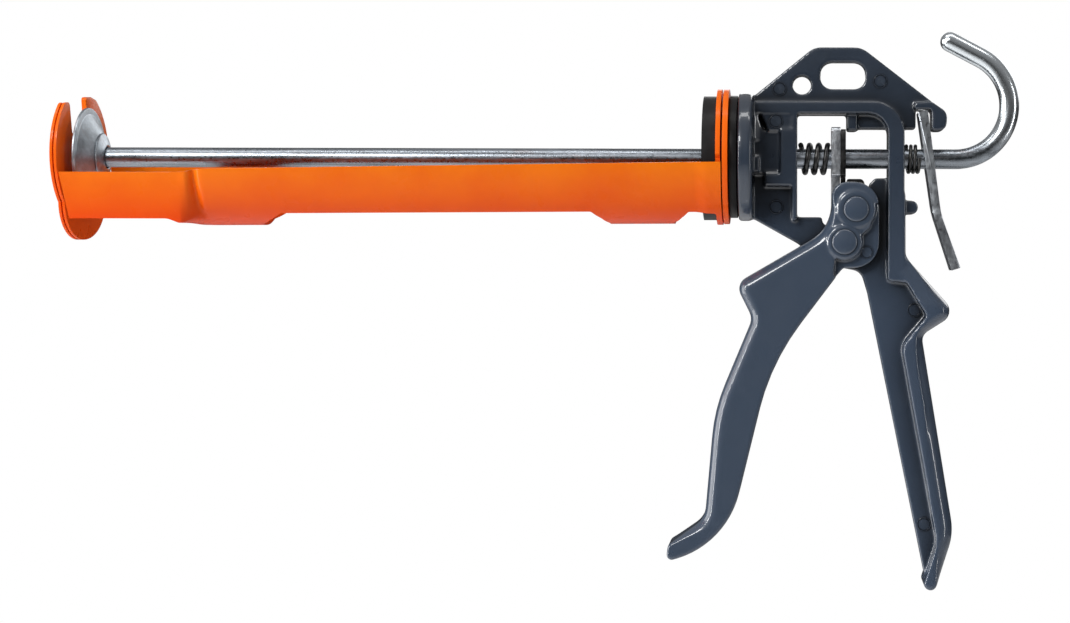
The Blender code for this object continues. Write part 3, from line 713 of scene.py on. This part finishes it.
def tail_block():
    """The thick end of the top web, which holds the release lever's top in a slot."""
    outline = rounded([
        (71.4, 22.4, 1), (78.3, 22.8, 0), (84.7, 18.4, 4), (84.2, 11.2, 3), (78.3, 11.2, 1),
        (78.3, 19.6, 0.5), (71.4, 19.6, 0.5),
    ])
    return flat("tail_block", outline, LEVER_HALF - 0.5)


def screw_places():
    return arc(SCREW_CIRCLE_R, 90, 330, 2)


def front_gussets():
    """The two fins that brace the flange against the cheek."""
    corners = [
        (5.5, 2, 17.6), (5.5, 9.2, 17.6), (5.5, 9.2, 7.2), (5.5, 2, 7.2), (12.6, 5.0, 7.2), (9.2, 6.8, 17.6),
    ]
    return [hull(f"front_gusset_{side}", [(x, side * y, z) for x, y, z in corners]) for side in (-1, 1)]


def frame_casting():
    flange = turned(
        "flange",
        [(FLANGE_X[1], 0), (FLANGE_X[1], FLANGE_R - 1), (FLANGE_X[1] - 1, FLANGE_R),
         (FLANGE_X[0] + 0.6, FLANGE_R), (FLANGE_X[0], FLANGE_R - 0.6), (FLANGE_X[0], 0)],
        place=(0.0, 0.0, COLLAR_Z),
    )
    near = FLANGE_X[1] - 1
    far = WALL_X
    lug = rounded([(66.0, -16.8, 0), (73.1, -16.8, 2.7), (73.1, -22.4, 2.7), (66.0, -22.4, 0)])
    body = gather(
        "frame", frame_web(), flange, rib_and_post(), palm_strip(), tail_block(), *front_gussets(),
        box("wall", (22.6, -RIB, -25.0), (far, RIB, 18.2)),
        box("bearing", (17.8, -RIB - 0.1, -6.5), (far - 0.1, RIB + 0.1, 11.5)),
        flat("cheek", [(9.4, 18.6), (13.0, 10.8), (far - 0.2, 10.8), (far - 0.2, 18.6)], CHEEK),
        box("valley", (near, -6.5, -6.3), (19.0, 6.5, 11.2)),
        box("shelf", (11.4, -RIB + 0.1, -11.3), (far - 0.3, RIB - 0.1, -6.1)),
        cylinder("rod_tube", 6.2, near, 19.0),
        box("flange_lug", (near, -8.6, -5.7), (9.3, 8.6, 0.8)),
        box("fulcrum_lug", (44.3, -5.0, 11.0), (48.7, 5.0, 18.0)),
        flat("post_lug", lug, 4.5),
        flat("lower_post", [(60.9, -14.2), (67.9, -14.2), (68.0, -42.0), (60.9, -46.0)], RIB - 0.1),
    )
    cast(body)
    cut(body, cylinder("rod_bore", ROD_BORE_R, -2.0, 80.0))
    cut(body, cylinder("pivot_hole", RIVET_R + 0.15, -6.0, 6.0, (PIVOT[0], 0.0, PIVOT[1]), "Y"))
    return piece("frame_body", body, "frame", FRAME_PAINT, ["frame_casting"], crease=60)


def pin_marks(name, x, z, out, profile, body, material):
    """The shallow round mark that a die's ejector pin leaves, on both sides of a casting."""
    for side, sign in (("near", -1), ("far", 1)):
        rim = [(distance * sign, radius) for distance, radius in profile]
        mark = turned("mark", rim[::sign], steps=40, place=(x, sign * out, z), along="Y")
        piece(f"{name}_{side}", mark, body, material)


def ejector_marks():
    profile = [
        (0.26, 0.0), (0.26, 2.15), (0.06, 2.3), (0.06, 2.4), (0.34, 2.6), (0.34, 2.75), (-0.4, 2.95),
        (-0.4, 0.0),
    ]
    places = [
        (17.4, 27.9, WEB), (57.9, 31.1, WEB), (16.1, 14.6, CHEEK), (16.2, -19.5, WEB), (71.8, -60.9, WEB),
        (75.8, -146.8, WEB),
    ]
    for i, (x, z, out) in enumerate(places):
        pin_marks(f"ejector_mark_{i + 1}", x, z, out, profile, "frame", FRAME_PAINT)


# ---------------------------------------------------------------- collar


def collar_drum():
    drum = turned(
        "drum",
        [(DRUM_X[1], 6), (DRUM_X[1], DRUM_R), (DRUM_X[0], DRUM_R), (DRUM_X[0], DRUM_R - 2.2),
         (DRUM_X[0] + 0.7, DRUM_R - 2.6), (DRUM_X[0] + 0.7, 15.5), (DRUM_X[0], 15.0), (DRUM_X[0], 6)],
        ring=True, place=(0.0, 0.0, DRUM_Z), steps=120,
    )
    hub = [(0.8, 7), (0.8, HUB_R), (DRUM_X[1] - 1, HUB_R), (DRUM_X[1] - 1, 7)]
    join(drum, turned("hub", hub, ring=True, place=(0.0, 0.0, COLLAR_Z), steps=96))
    for i, (y, z) in enumerate(screw_places()):
        cut(drum, cylinder(f"drum_hole_{i}", SCREW_R + 0.15, -20.0, 5.0, (0.0, y, z + COLLAR_Z)))
        cut(drum, cylinder(f"drum_recess_{i}", 3.9, -20.0, SCREW_SEAT_X, (0.0, y, z + COLLAR_Z)))
    ease(drum, 0.45, 3)
    return piece("front_drum", drum, "frame", DRUM_BLACK, ["collar_drum"])


def thrust_washer():
    washer = turned(
        "washer", [(0.8, HUB_R + GAP), (0.8, 24.6), (-2.3, 24.6), (-2.3, HUB_R + GAP)],
        ring=True, place=(0.0, 0.0, COLLAR_Z), steps=120,
    )
    ease(washer, 0.3)
    return piece("rear_washer", washer, "frame", DRUM_BLACK, ["rear_thrust_washer"])


def collar_screw(number, place):
    """A pan-head screw with a cross recess."""
    y, z = place
    head = SCREW_SEAT_X - GAP
    profile = [(5.4, 0), (5.4, SCREW_R), (head, SCREW_R), (head, 3.5), (head - 1.0, 3.4), (head - 1.6, 2.9),
               (head - 2.0, 1.9), (head - 2.1, 0)]
    screw = turned("screw", profile, steps=40, place=(0.0, y, z + COLLAR_Z))
    for name, wide, tall in (("across", 1.7, 0.32), ("down", 0.32, 1.7)):
        low = (head - 2.7, y - wide, z - tall + COLLAR_Z)
        cut(screw, box(name, low, (head - 1.0, y + wide, z + tall + COLLAR_Z)))
    return piece(f"pan_screw_{number}", screw, "frame", PLATE_ZINC, [f"collar_screw_{number}"])


# ---------------------------------------------------------------- cradle

CREASE_X = -210.9
CREASE_WIDTH = 1.7
CREASE_DEPTH = 2.7
CREASE_SHARE = 0.62
CRADLE = Matrix.Translation((0.0, 0.0, COLLAR_Z * MM)) @ Matrix.Rotation(CRADLE_ROLL, 4, "X")


def trough_point(x, part):
    """A point of the trough's outer skin: part 0 is the near rail's top edge, and 1 is the far rail's."""
    side = -1 if part < 0.5 else 1
    down = 1 - abs(2 * part - 1)
    middle = (RAIL_START_X + TROUGH_END_X) / 2
    flare = min(1.0, max(0.0, (x - FLARE_X[0]) / (FLARE_X[1] - FLARE_X[0])))
    radius = TROUGH_R - TROUGH_TAPER * (x - middle) / (TROUGH_END_X - middle)
    radius += FLARE * flare * flare * (3 - 2 * flare)
    angle = math.radians(3 - 93 * down)
    round_y = radius * math.cos(angle)
    round_z = radius * math.sin(angle)
    if down < ARM_SHARE:
        arm_y = 27.4 - 3.1 * down / ARM_SHARE
        arm_z = 1.4 - 25.4 * down / ARM_SHARE
    else:
        arm_y = 24.3 * (1 - down) / (1 - ARM_SHARE)
        arm_z = -24.0 - 4.2 * (down - ARM_SHARE) / (1 - ARM_SHARE)
    share = min(1.0, max(0.0, (x - ARM_END_X) / (ROUND_START_X - ARM_END_X)))
    blend = share * share * (3 - 2 * share)
    crease = CREASE_DEPTH * math.exp(-(((x - CREASE_X) / CREASE_WIDTH) ** 2))
    crease *= max(0.0, 1 - (down / CREASE_SHARE) ** 4)
    y = arm_y + (round_y - arm_y) * blend - crease
    return x, side * y, arm_z + (round_z - arm_z) * blend


def sheet(name, stations, parts, point_at):
    """A pressed sheet that is lofted along stations, with point_at giving its outer skin."""
    mesh = bpy.data.meshes.new(name)
    work = bmesh.new()
    rows = [[work.verts.new(Vector(point_at(x, i / parts)) * MM) for i in range(parts + 1)] for x in stations]
    for row, ahead in zip(rows, rows[1:]):
        for i in range(parts):
            work.faces.new((row[i], row[i + 1], ahead[i + 1], ahead[i]))
    work.to_mesh(mesh)
    work.free()
    obj = place_mesh(name, mesh)
    solid = obj.modifiers.new("sheet", "SOLIDIFY")
    solid.thickness = SHEET * MM
    solid.offset = -1.0
    solid.use_even_offset = True
    return obj


def spaced(start, end, steps):
    return [start + (end - start) * i / steps for i in range(steps)]


def cradle_trough():
    """Two rails rolled from one sheet, tied by bridges under the cartridge and open between them."""
    stations = spaced(RAIL_START_X, ARM_END_X, 6) + spaced(ARM_END_X, ROUND_START_X + 3.0, 30)
    stations += spaced(ROUND_START_X + 3.0, FLARE_X[0], 24) + spaced(*FLARE_X, 10)
    stations += spaced(FLARE_X[1], TROUGH_END_X, 3)
    trough = sheet("trough", [*stations, TROUGH_END_X], 96, trough_point)
    slant = [
        (-270.0, 4.0), (RAIL_START_X, 4.0), (RAIL_START_X, -3.0), (RAIL_START_X + 2.4, -23.5),
        (-270.0, -23.5),
    ]
    cut(trough, flat("slanted_end", slant, 32.0))
    top = [
        (-266.0, -3.8, 0), (-216.0, -3.8, 12), (-206.0, -2.3, 12), (-4.0, 0.8, 0), (-4.0, 8.0, 0),
        (-266.0, 8.0, 0),
    ]
    cut(trough, flat("rail_tops", rounded(top), 32.0))
    under_arms = [
        (-266.0, -22.3, 0), (-222.0, -22.3, 6), (-215.5, -25.0, 3), (-213.5, -32.0, 0), (-266.0, -32.0, 0),
    ]
    cut(trough, flat("under_arms", rounded(under_arms), 32.0))
    main = [(-189.5, 8.0), (-184.8, 14.0), (-179.5, 18.3), (-56.9, 18.3), (-53.2, 14.0), (-50.4, 8.0)]
    rear = [(-24.6, 8.0), (-21.3, 14.0), (-18.4, 17.9), (-7.4, 17.9)]
    for name, half in (("main_window", main), ("rear_window", rear)):
        outline = [(x, y, 1.2) for x, y in half] + [(x, -y, 1.2) for x, y in reversed(half)]
        cut(trough, flat(name, rounded(outline), 11.0, centre=-23.0, across="Z"))
    ease(trough, 0.28, 2, 50)
    return piece("cradle_rails", trough, "cradle", RAIL_ORANGE, ["cradle_trough"], CRADLE)


def nose_outline(mouth):
    """A disc with a lobe below, and a wide-mouthed notch for the nozzle that ends in a round seat."""
    right_y = NOTCH_SHIFT + mouth
    left_y = NOTCH_SHIFT - mouth
    near_top = NOSE_TOP - 0.6
    right = [(right_y, NOTCH_STEP, 1.0), (right_y, NOSE_TOP, 1.2), (11.0, NOSE_TOP, 1.2)]
    left = [(-14.0, near_top, 1.5), (left_y - 0.8, near_top, 1.8), (left_y, NOTCH_STEP, 1.0)]
    rim = []
    for degrees in range(53, -236, -3):
        from_bottom = abs(degrees + 90) / LOBE_SPREAD
        radius = NOSE_R + LOBE_DEPTH * max(0.0, 1 - from_bottom**3)
        rim.append((*arc(radius, degrees, degrees, 1)[0], 0))
    seat = [(y, z, 0) for y, z in arc(NOTCH_HALF, -180, 0, 40)]
    corners = right + rim + left + [(-NOTCH_HALF, NOTCH_STEP, 0.8)] + seat + [(NOTCH_HALF, NOTCH_STEP, 0.8)]
    return rounded(corners)


def nose_plate(name, x, mouth, node):
    plate = flat(name, nose_outline(mouth), 0.5, (), x, "X")
    ease(plate, 0.22, 3)
    return piece(name, plate, "cradle", ORANGE, [node], CRADLE)


def rear_plates():
    """The two discs that turn on the hub, with rolled edges."""
    hole = arc(HUB_R + GAP, 0, 357, 119)
    front = flat("front_disc", arc(PLATE_R, 8, 172, 80) + arc(25.1, 175, 365, 90), 0.9, (hole,), -6.4, "X")
    ease(front, 0.5, 4)
    piece("swivel_disc_front", front, "cradle", ORANGE, ["rear_plate_front"], CRADLE)
    back = flat("back_disc", arc(PLATE_R, 0, 357, 119), 1.05, (hole,), -3.65, "X")
    ease(back, 0.6, 4)
    piece("swivel_disc_back", back, "cradle", ORANGE, ["rear_plate_back"], CRADLE)


# ---------------------------------------------------------------- plunger and rod

SEAT = Matrix.Translation((SEAT_X * MM, 0.0, 0.0)) @ Matrix.Rotation(DISH_TILT, 4, "Z")


def plunger():
    """A pressed dish with a flat rim, its domed backing washer and the peened washer in front."""
    dish = turned("dish", [
        (-0.3, SPIGOT_R + SLACK), (-0.3, 9.5), (-4.9, 17.2), (-4.9, DISH_R - 0.2), (-5.3, DISH_R),
        (-6.0, DISH_R), (-6.0, 16.6), (-1.5, 8.9), (-1.5, SPIGOT_R + SLACK),
    ], ring=True, steps=120)
    ease(dish, 0.5, 4, 20)
    piece("piston_dish", dish, "plunger", PRESSED_ZINC, ["plunger_dish"], SEAT)
    bore = ROD_R + SLACK
    dome = [(1.9, bore), (1.9, 5.2), (1.2, 7.2), (0.3, 9.4), (-0.25, 9.9), (-0.25, bore)]
    hub = turned("dome", dome, ring=True)
    ease(hub, 0.5, 3, 15)
    piece("domed_washer", hub, "plunger", PRESSED_ZINC, ["plunger_hub"], SEAT)
    washer = [(-1.8, SPIGOT_R + SLACK), (-1.8, 6.5), (-3.0, 6.5), (-3.6, 5.6), (-3.6, SPIGOT_R + SLACK)]
    peened = turned("peened", washer, ring=True)
    ease(peened, 0.25)
    piece("peened_washer", peened, "plunger", PLATE_ZINC, ["plunger_rivet"], SEAT)


def push_rod():
    """The rod with its turned-down spigot, and the hook that it is pulled back by."""
    bend_steps = 60
    straight = [*spaced(SHOULDER_X, HOOK_START_X, 40), HOOK_START_X]
    points = [(x, 0.0, 0.0, 1.0) for x in straight]
    for i in range(1, bend_steps + 1):
        turn = HOOK_TURN * i / bend_steps
        points.append((HOOK_START_X + HOOK_R * math.sin(turn), 0.0, HOOK_R * (1 - math.cos(turn)), 1.0))
    ahead = Vector((math.cos(HOOK_TURN), math.sin(HOOK_TURN)))
    tip = Vector((points[-1][0], points[-1][2])) + ahead * HOOK_TAIL
    points.append((tip.x, 0.0, tip.y, 1.0))
    for i in range(1, 13):
        turn = math.pi / 2 * i / 13.2
        along = tip + ahead * ROD_R * math.sin(turn)
        points.append((along.x, 0.0, along.y, math.cos(turn)))
    rod = wire("rod", points, ROD_R, 14)
    join(rod, cylinder("spigot", SPIGOT_R, SEAT_X - 3.5, SHOULDER_X + 1.0))
    return piece("hooked_rod", rod, "rod", ROD_ZINC, ["push_rod"])


# ---------------------------------------------------------------- trigger and thrust parts


def trigger_outline():
    return rounded([
        (38.4, -9.6, 6), (57.4, -9.6, 10), (57.4, -43.6, 10), (42.9, -44.0, 0), (14.4, -81.8, 95),
        (-3.2, -154.1, 36), (-27.4, -161.2, 2), (-26.7, -154.6, 2.5), (-12.1, -144.4, 10),
        (-8.3, -100.5, 70), (6.8, -64.2, 6), (-0.1, -50.4, 5), (38.3, -27.9, 17),
    ])


def trigger_bosses():
    """The raised rings round both rivets, on both cheeks."""
    bosses = []
    for name, (x, z), radius in (("pivot_boss", PIVOT, 7.3), ("thrust_boss", THRUST, 8.1)):
        rim = [
            (BOSS_HALF, 0), (BOSS_HALF, radius - 1.1), (BOSS_HALF - 0.6, radius - 0.2),
            (BOSS_HALF - 1.4, radius), (4.1, radius), (4.1, 0),
        ]
        for side in (-1, 1):
            profile = [(distance * side, r) for distance, r in rim]
            bosses.append(turned(f"{name}_{side}", profile[::side], place=(x, 0.0, z), along="Y"))
    return bosses


def trigger_casting():
    middle = [
        (-18.0, 46.0), (-26.0, 42.0), (-50.0, 20.0), (-64.0, 15.0), (-100.0, 0.0), (-144.0, -7.0),
        (-150.0, -15.0),
    ]
    widest = [(-16.0, 0.0), (-27.0, 4.3), (-144.0, 4.3), (-154.0, 0.0)]

    def reach(x, z):
        return between(z, widest) * min(1.0, max(0.0, (between(z, middle) - x) / 1.5))

    recess = rounded([
        (40.0, -39.5, 0), (39.0, -47.5, 1), (52.0, -46.0, 2), (59.0, -40.0, 0), (59.0, -18.0, 0),
        (55.6, -18.0, 0), (54.0, -27.5, 3), (50.0, -31.0, 2),
    ])
    trigger = gather("trigger", rounded_slab("trigger_slab", trigger_outline(), TRIGGER_HALF, 5.0, reach))
    fuse(trigger, TRIGGER_SLAB_VOXEL)
    for side in (-1, 1):
        cut(trigger, flat(f"recess_{side}", recess, RECESS_CUT, (), side * (RECESS_FLOOR + RECESS_CUT)))
    join(trigger, *trigger_bosses())
    upper = [
        (16.0, -28.0, 0), (16.0, -34.0, 0), (26.5, -40.6, 0), (34.0, -50.0, 0), (60.0, -58.0, 0),
        (62.0, -2.0, 0), (30.0, -2.0, 0),
    ]
    lower = [
        (31.0, -44.0, 0), (6.0, -54.0, 4), (10.6, -64.4, 6), (-4.6, -101.0, 66), (-8.0, -142.0, 8),
        (-14.5, -149.5, 3), (6.0, -160.0, 0), (30.0, -82.0, 0), (48.0, -48.0, 0), (40.0, -46.0, 0),
    ]
    cut(trigger, flat("frame_channel", rounded(upper), CHANNEL_HALF))
    cut(trigger, flat("trigger_hollow", rounded(lower), HOLLOW_HALF))
    cast(trigger, TRIGGER_VOXEL, TRIGGER_ROUNDS)
    piece("trigger_body", trigger, "trigger", TRIGGER_PAINT, ["trigger_casting"], crease=60)
    profile = [
        (0.26, 0.0), (0.26, 2.0), (0.06, 2.15), (0.06, 2.25), (0.3, 2.4), (0.3, 2.5), (-0.5, 2.7),
        (-0.5, 0.0),
    ]
    pin_marks("trigger_mark", 52.4, -37.6, RECESS_FLOOR, profile, "trigger", TRIGGER_PAINT)


def rivet(name, centre, body, material, node):
    """A rivet through both cheeks: a shank with a flat, slightly domed head at each end."""
    top = HEAD_HALF + 0.4
    half = [(top, 0), (top - 0.05, HEAD_R - 0.7), (top - 0.2, HEAD_R - 0.25), (top - 0.45, HEAD_R),
            (HEAD_HALF - 2.2, HEAD_R), (HEAD_HALF - 2.2, RIVET_R)]
    profile = half + [(-distance, radius) for distance, radius in reversed(half)]
    pin = turned(name, profile, steps=64, place=(centre[0], 0.0, centre[1]), along="Y")
    return piece(name, pin, body, material, [node], crease=30)


def thrust_block():
    """The shoe on the thrust rivet, which stays upright and pushes the drive plates."""
    outline = rounded([
        (44.5, -8.2, 0.8), (51.0, -8.2, 1.8), (53.0, -14.0, 3), (53.0, -25.3, 4), (44.5, -25.3, 2),
    ])
    block = flat("block", outline, CHANNEL_HALF - 0.4)
    cut(block, cylinder("block_bore", RIVET_R + 0.15, -6.0, 6.0, (THRUST[0], 0.0, THRUST[1]), "Y"))
    ease(block, 0.35, 3)
    return piece("thrust_shoe_body", block, "thrust_shoe", BLACK, ["thrust_block"])


def drive_plate(name, low, high, half, top, tongue, material, node):
    """A clutch plate that grips the rod when it is pushed, with a tongue down to the thrust block."""
    outline = [(-half, top, 2), (half, top, 2), (half, -7.3, 1)]
    outline += [(3.0, -7.3, 0), (3.0, tongue, 1), (-3.0, tongue, 1), (-3.0, -7.3, 0)]
    outline += [(-half, -7.3, 1)]
    hole = arc(ROD_R + 0.35, 0, 354, 59)
    plate = flat(name, rounded(outline), (high - low) / 2, (hole,), (low + high) / 2, "X")
    ease(plate, 0.3, 3)
    return piece(name, plate, "drive_plates", material, [node])


def release_lever():
    """The bent steel lever behind the post, which grips the rod until it is pressed forwards."""
    outline = rounded([
        (72.9, 18.6, 0.3), (78.8, -21.5, 30), (86.4, -44.9, 0.3), (90.0, -43.8, 0.3), (82.2, -22.5, 30),
        (76.8, 19.2, 0.3),
    ])
    lever = flat("lever", outline, LEVER_HALF - 1.0)
    cut(lever, cylinder("lever_hole", ROD_R + 0.75, 60.0, 100.0))
    ease(lever, 0.45, 3)
    return piece("thumb_lever", lever, "release", LEVER_ZINC, ["release_lever"])


def coil_spring(name, start, end, turns, wire_r, node):
    """A compression spring round the rod, which on the real gun shortens towards its fixed end as its joint
    moves; here it is coiled at one length, on a mesh of its own.
    """
    steps = 48
    coil_r = ROD_R + 0.5 + wire_r
    points = []
    for i in range(int(turns * steps) + 1):
        turn = math.tau * i / steps
        share = i / (turns * steps)
        x = start + wire_r + (end - start - 2 * wire_r) * share
        points.append((x, coil_r * math.sin(turn), coil_r * math.cos(turn), 1.0))
    spring = piece(name, wire(name, points, wire_r, 7), "frame", DARK_STEEL, [node])
    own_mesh(spring)
    return spring


# ---------------------------------------------------------------- assembly


def build_gun():
    frame_casting()
    ejector_marks()
    collar_drum()
    thrust_washer()
    for i, place in enumerate(screw_places()):
        collar_screw(i + 1, place)
    rivet("pivot_rivet", PIVOT, "frame", TRIGGER_PAINT, "trigger_pivot_rivet")
    coil_spring("clutch_spring", 24.9, 38.0, 3.0, 1.05, "drive_spring")
    coil_spring("lever_spring", 67.8, 74.3, 2.75, 0.75, "release_spring")
    cradle_trough()
    nose_plate("nose_plate_rear", NOSE_INNER_X, 7.7, "nose_plate_inner")
    nose_plate("nose_plate_front", NOSE_OUTER_X, 9.6, "nose_plate_outer")
    rear_plates()
    plunger()
    push_rod()
    trigger_casting()
    rivet("shoe_rivet", THRUST, "trigger", TRIGGER_PAINT, "thrust_rivet")
    thrust_block()
    drive_plate("clutch_plate_front", 38.3, 41.8, 8.0, 12.4, -20.0, PLATE_ZINC, "drive_plate_front")
    drive_plate("clutch_plate_rear", 42.1, 44.0, 7.4, 11.6, -18.0, DARK_STEEL, "drive_plate_rear")
    release_lever()


build_gun()
clear_work()


# ---------------------------------------------------------------- studio

CAMERA_PLACE = (-0.04219, -0.722, 0.05222)
FLOOR_Z = -0.62
FLOOR_R = 2.5


def floor_paper():
    """Pale paper, which the camera sees a little brighter than it is lit."""
    n = Nodes("floor_paper")
    n.bump(n.noise(300.0, 2.0), 0.0001, 0.2)
    tone = n.mix(n.noise(3.0), (0.88, 0.88, 0.88), (0.92, 0.92, 0.92))
    material = n.finish(Base_Color=tone, Roughness=0.9)
    glow = n.tree.nodes.new("ShaderNodeEmission")
    part = n.tree.nodes.new("ShaderNodeMixShader")
    choose = n.tree.nodes.new("ShaderNodeMixShader")
    rays = n.tree.nodes.new("ShaderNodeLightPath")
    n.link(tone, glow.inputs["Color"])
    part.inputs["Fac"].default_value = 0.75
    n.link(n.shader.outputs["BSDF"], part.inputs[1])
    n.link(glow.outputs["Emission"], part.inputs[2])
    n.link(rays.outputs["Is Camera Ray"], choose.inputs["Fac"])
    n.link(n.shader.outputs["BSDF"], choose.inputs[1])
    n.link(part.outputs["Shader"], choose.inputs[2])
    n.link(choose.outputs["Shader"], n.tree.nodes["Material Output"].inputs["Surface"])
    return material


def studio_floor():
    """A wide pale floor, well below the gun, which is shown held up in the air."""
    mesh = bpy.data.meshes.new("studio_floor")
    work = bmesh.new()
    bmesh.ops.create_circle(work, cap_ends=True, segments=96, radius=FLOOR_R)
    work.to_mesh(mesh)
    work.free()
    floor = bpy.data.objects.new("studio_floor", mesh)
    bpy.context.scene.collection.objects.link(floor)
    floor.location = (0.0, 0.0, FLOOR_Z)
    mesh.materials.append(floor_paper())


def soft_box(name, place, aim, size, power):
    """A rectangular soft light that faces a point."""
    data = bpy.data.lights.new(name, "AREA")
    data.shape = "RECTANGLE"
    data.size, data.size_y = size
    data.energy = power
    light = bpy.data.objects.new(name, data)
    bpy.context.scene.collection.objects.link(light)
    light.location = place
    light.rotation_mode = "QUATERNION"
    light.rotation_quaternion = (Vector(aim) - Vector(place)).to_track_quat("-Z", "Y")
    return light


def studio_lights():
    middle = (-0.1, 0.0, 0.02)
    soft_box("top_strip", (-0.1, -0.25, 1.1), middle, (1.5, 0.15), 4.0)
    soft_box("front_light", (-0.7, -1.15, 0.8), middle, (0.5, 0.3), 8.5)
    soft_box("left_strip", (-1.2, -0.75, 0.3), middle, (0.06, 0.9), 7.0)
    soft_box("left_panel", (-1.4, -0.1, 0.0), middle, (1.0, 1.2), 14.0)
    soft_box("right_strip", (1.1, -0.45, 0.1), middle, (0.06, 0.9), 2.5)
    soft_box("back_light", (0.3, 1.1, 0.5), middle, (1.2, 0.5), 3.0)


def studio_world():
    """A white surround for the camera, and a shaded room for what the gloss reflects."""
    world = bpy.data.worlds.new("studio")
    bpy.context.scene.world = world
    world.use_nodes = True
    nodes = world.node_tree.nodes
    links = world.node_tree.links
    nodes.clear()
    output = nodes.new("ShaderNodeOutputWorld")
    plain = nodes.new("ShaderNodeBackground")
    room = nodes.new("ShaderNodeBackground")
    choose = nodes.new("ShaderNodeMixShader")
    coords = nodes.new("ShaderNodeTexCoord")
    split = nodes.new("ShaderNodeSeparateXYZ")
    ramp = nodes.new("ShaderNodeValToRGB")
    rays = nodes.new("ShaderNodeLightPath")
    links.new(coords.outputs["Generated"], split.inputs["Vector"])
    height = nodes.new("ShaderNodeMapRange")
    height.inputs["From Min"].default_value = -1.0
    links.new(split.outputs["Z"], height.inputs["Value"])
    links.new(height.outputs["Result"], ramp.inputs["Fac"])
    stops = [(0.0, 0.30), (0.30, 0.18), (0.47, 0.05), (0.52, 0.08), (0.60, 0.35), (0.80, 0.55), (1.0, 0.9)]
    while len(ramp.color_ramp.elements) < len(stops):
        ramp.color_ramp.elements.new(1.0)
    for element, (place, tone) in zip(ramp.color_ramp.elements, stops):
        element.position = place
        element.color = (tone, tone, tone * 1.02, 1.0)
    links.new(ramp.outputs["Color"], room.inputs["Color"])
    room.inputs["Strength"].default_value = 0.42
    plain.inputs["Color"].default_value = (1.0, 1.0, 1.0, 1.0)
    plain.inputs["Strength"].default_value = 1.0
    links.new(rays.outputs["Is Camera Ray"], choose.inputs["Fac"])
    links.new(room.outputs["Background"], choose.inputs[1])
    links.new(plain.outputs["Background"], choose.inputs[2])
    links.new(choose.outputs["Shader"], output.inputs["Surface"])


def studio_camera():
    data = bpy.data.cameras.new("camera")
    data.sensor_width = 36.0
    data.lens = 60.24
    data.shift_x = -0.2477
    data.shift_y = -0.0435
    data.clip_start = 0.01
    camera = bpy.data.objects.new("camera", data)
    bpy.context.scene.collection.objects.link(camera)
    camera.location = CAMERA_PLACE
    camera.rotation_euler = (math.radians(90.0), math.radians(-0.135), 0.0)
    bpy.context.scene.camera = camera


studio_floor()
studio_lights()
studio_world()
studio_camera()
bpy.context.scene.view_settings.view_transform = "Standard"
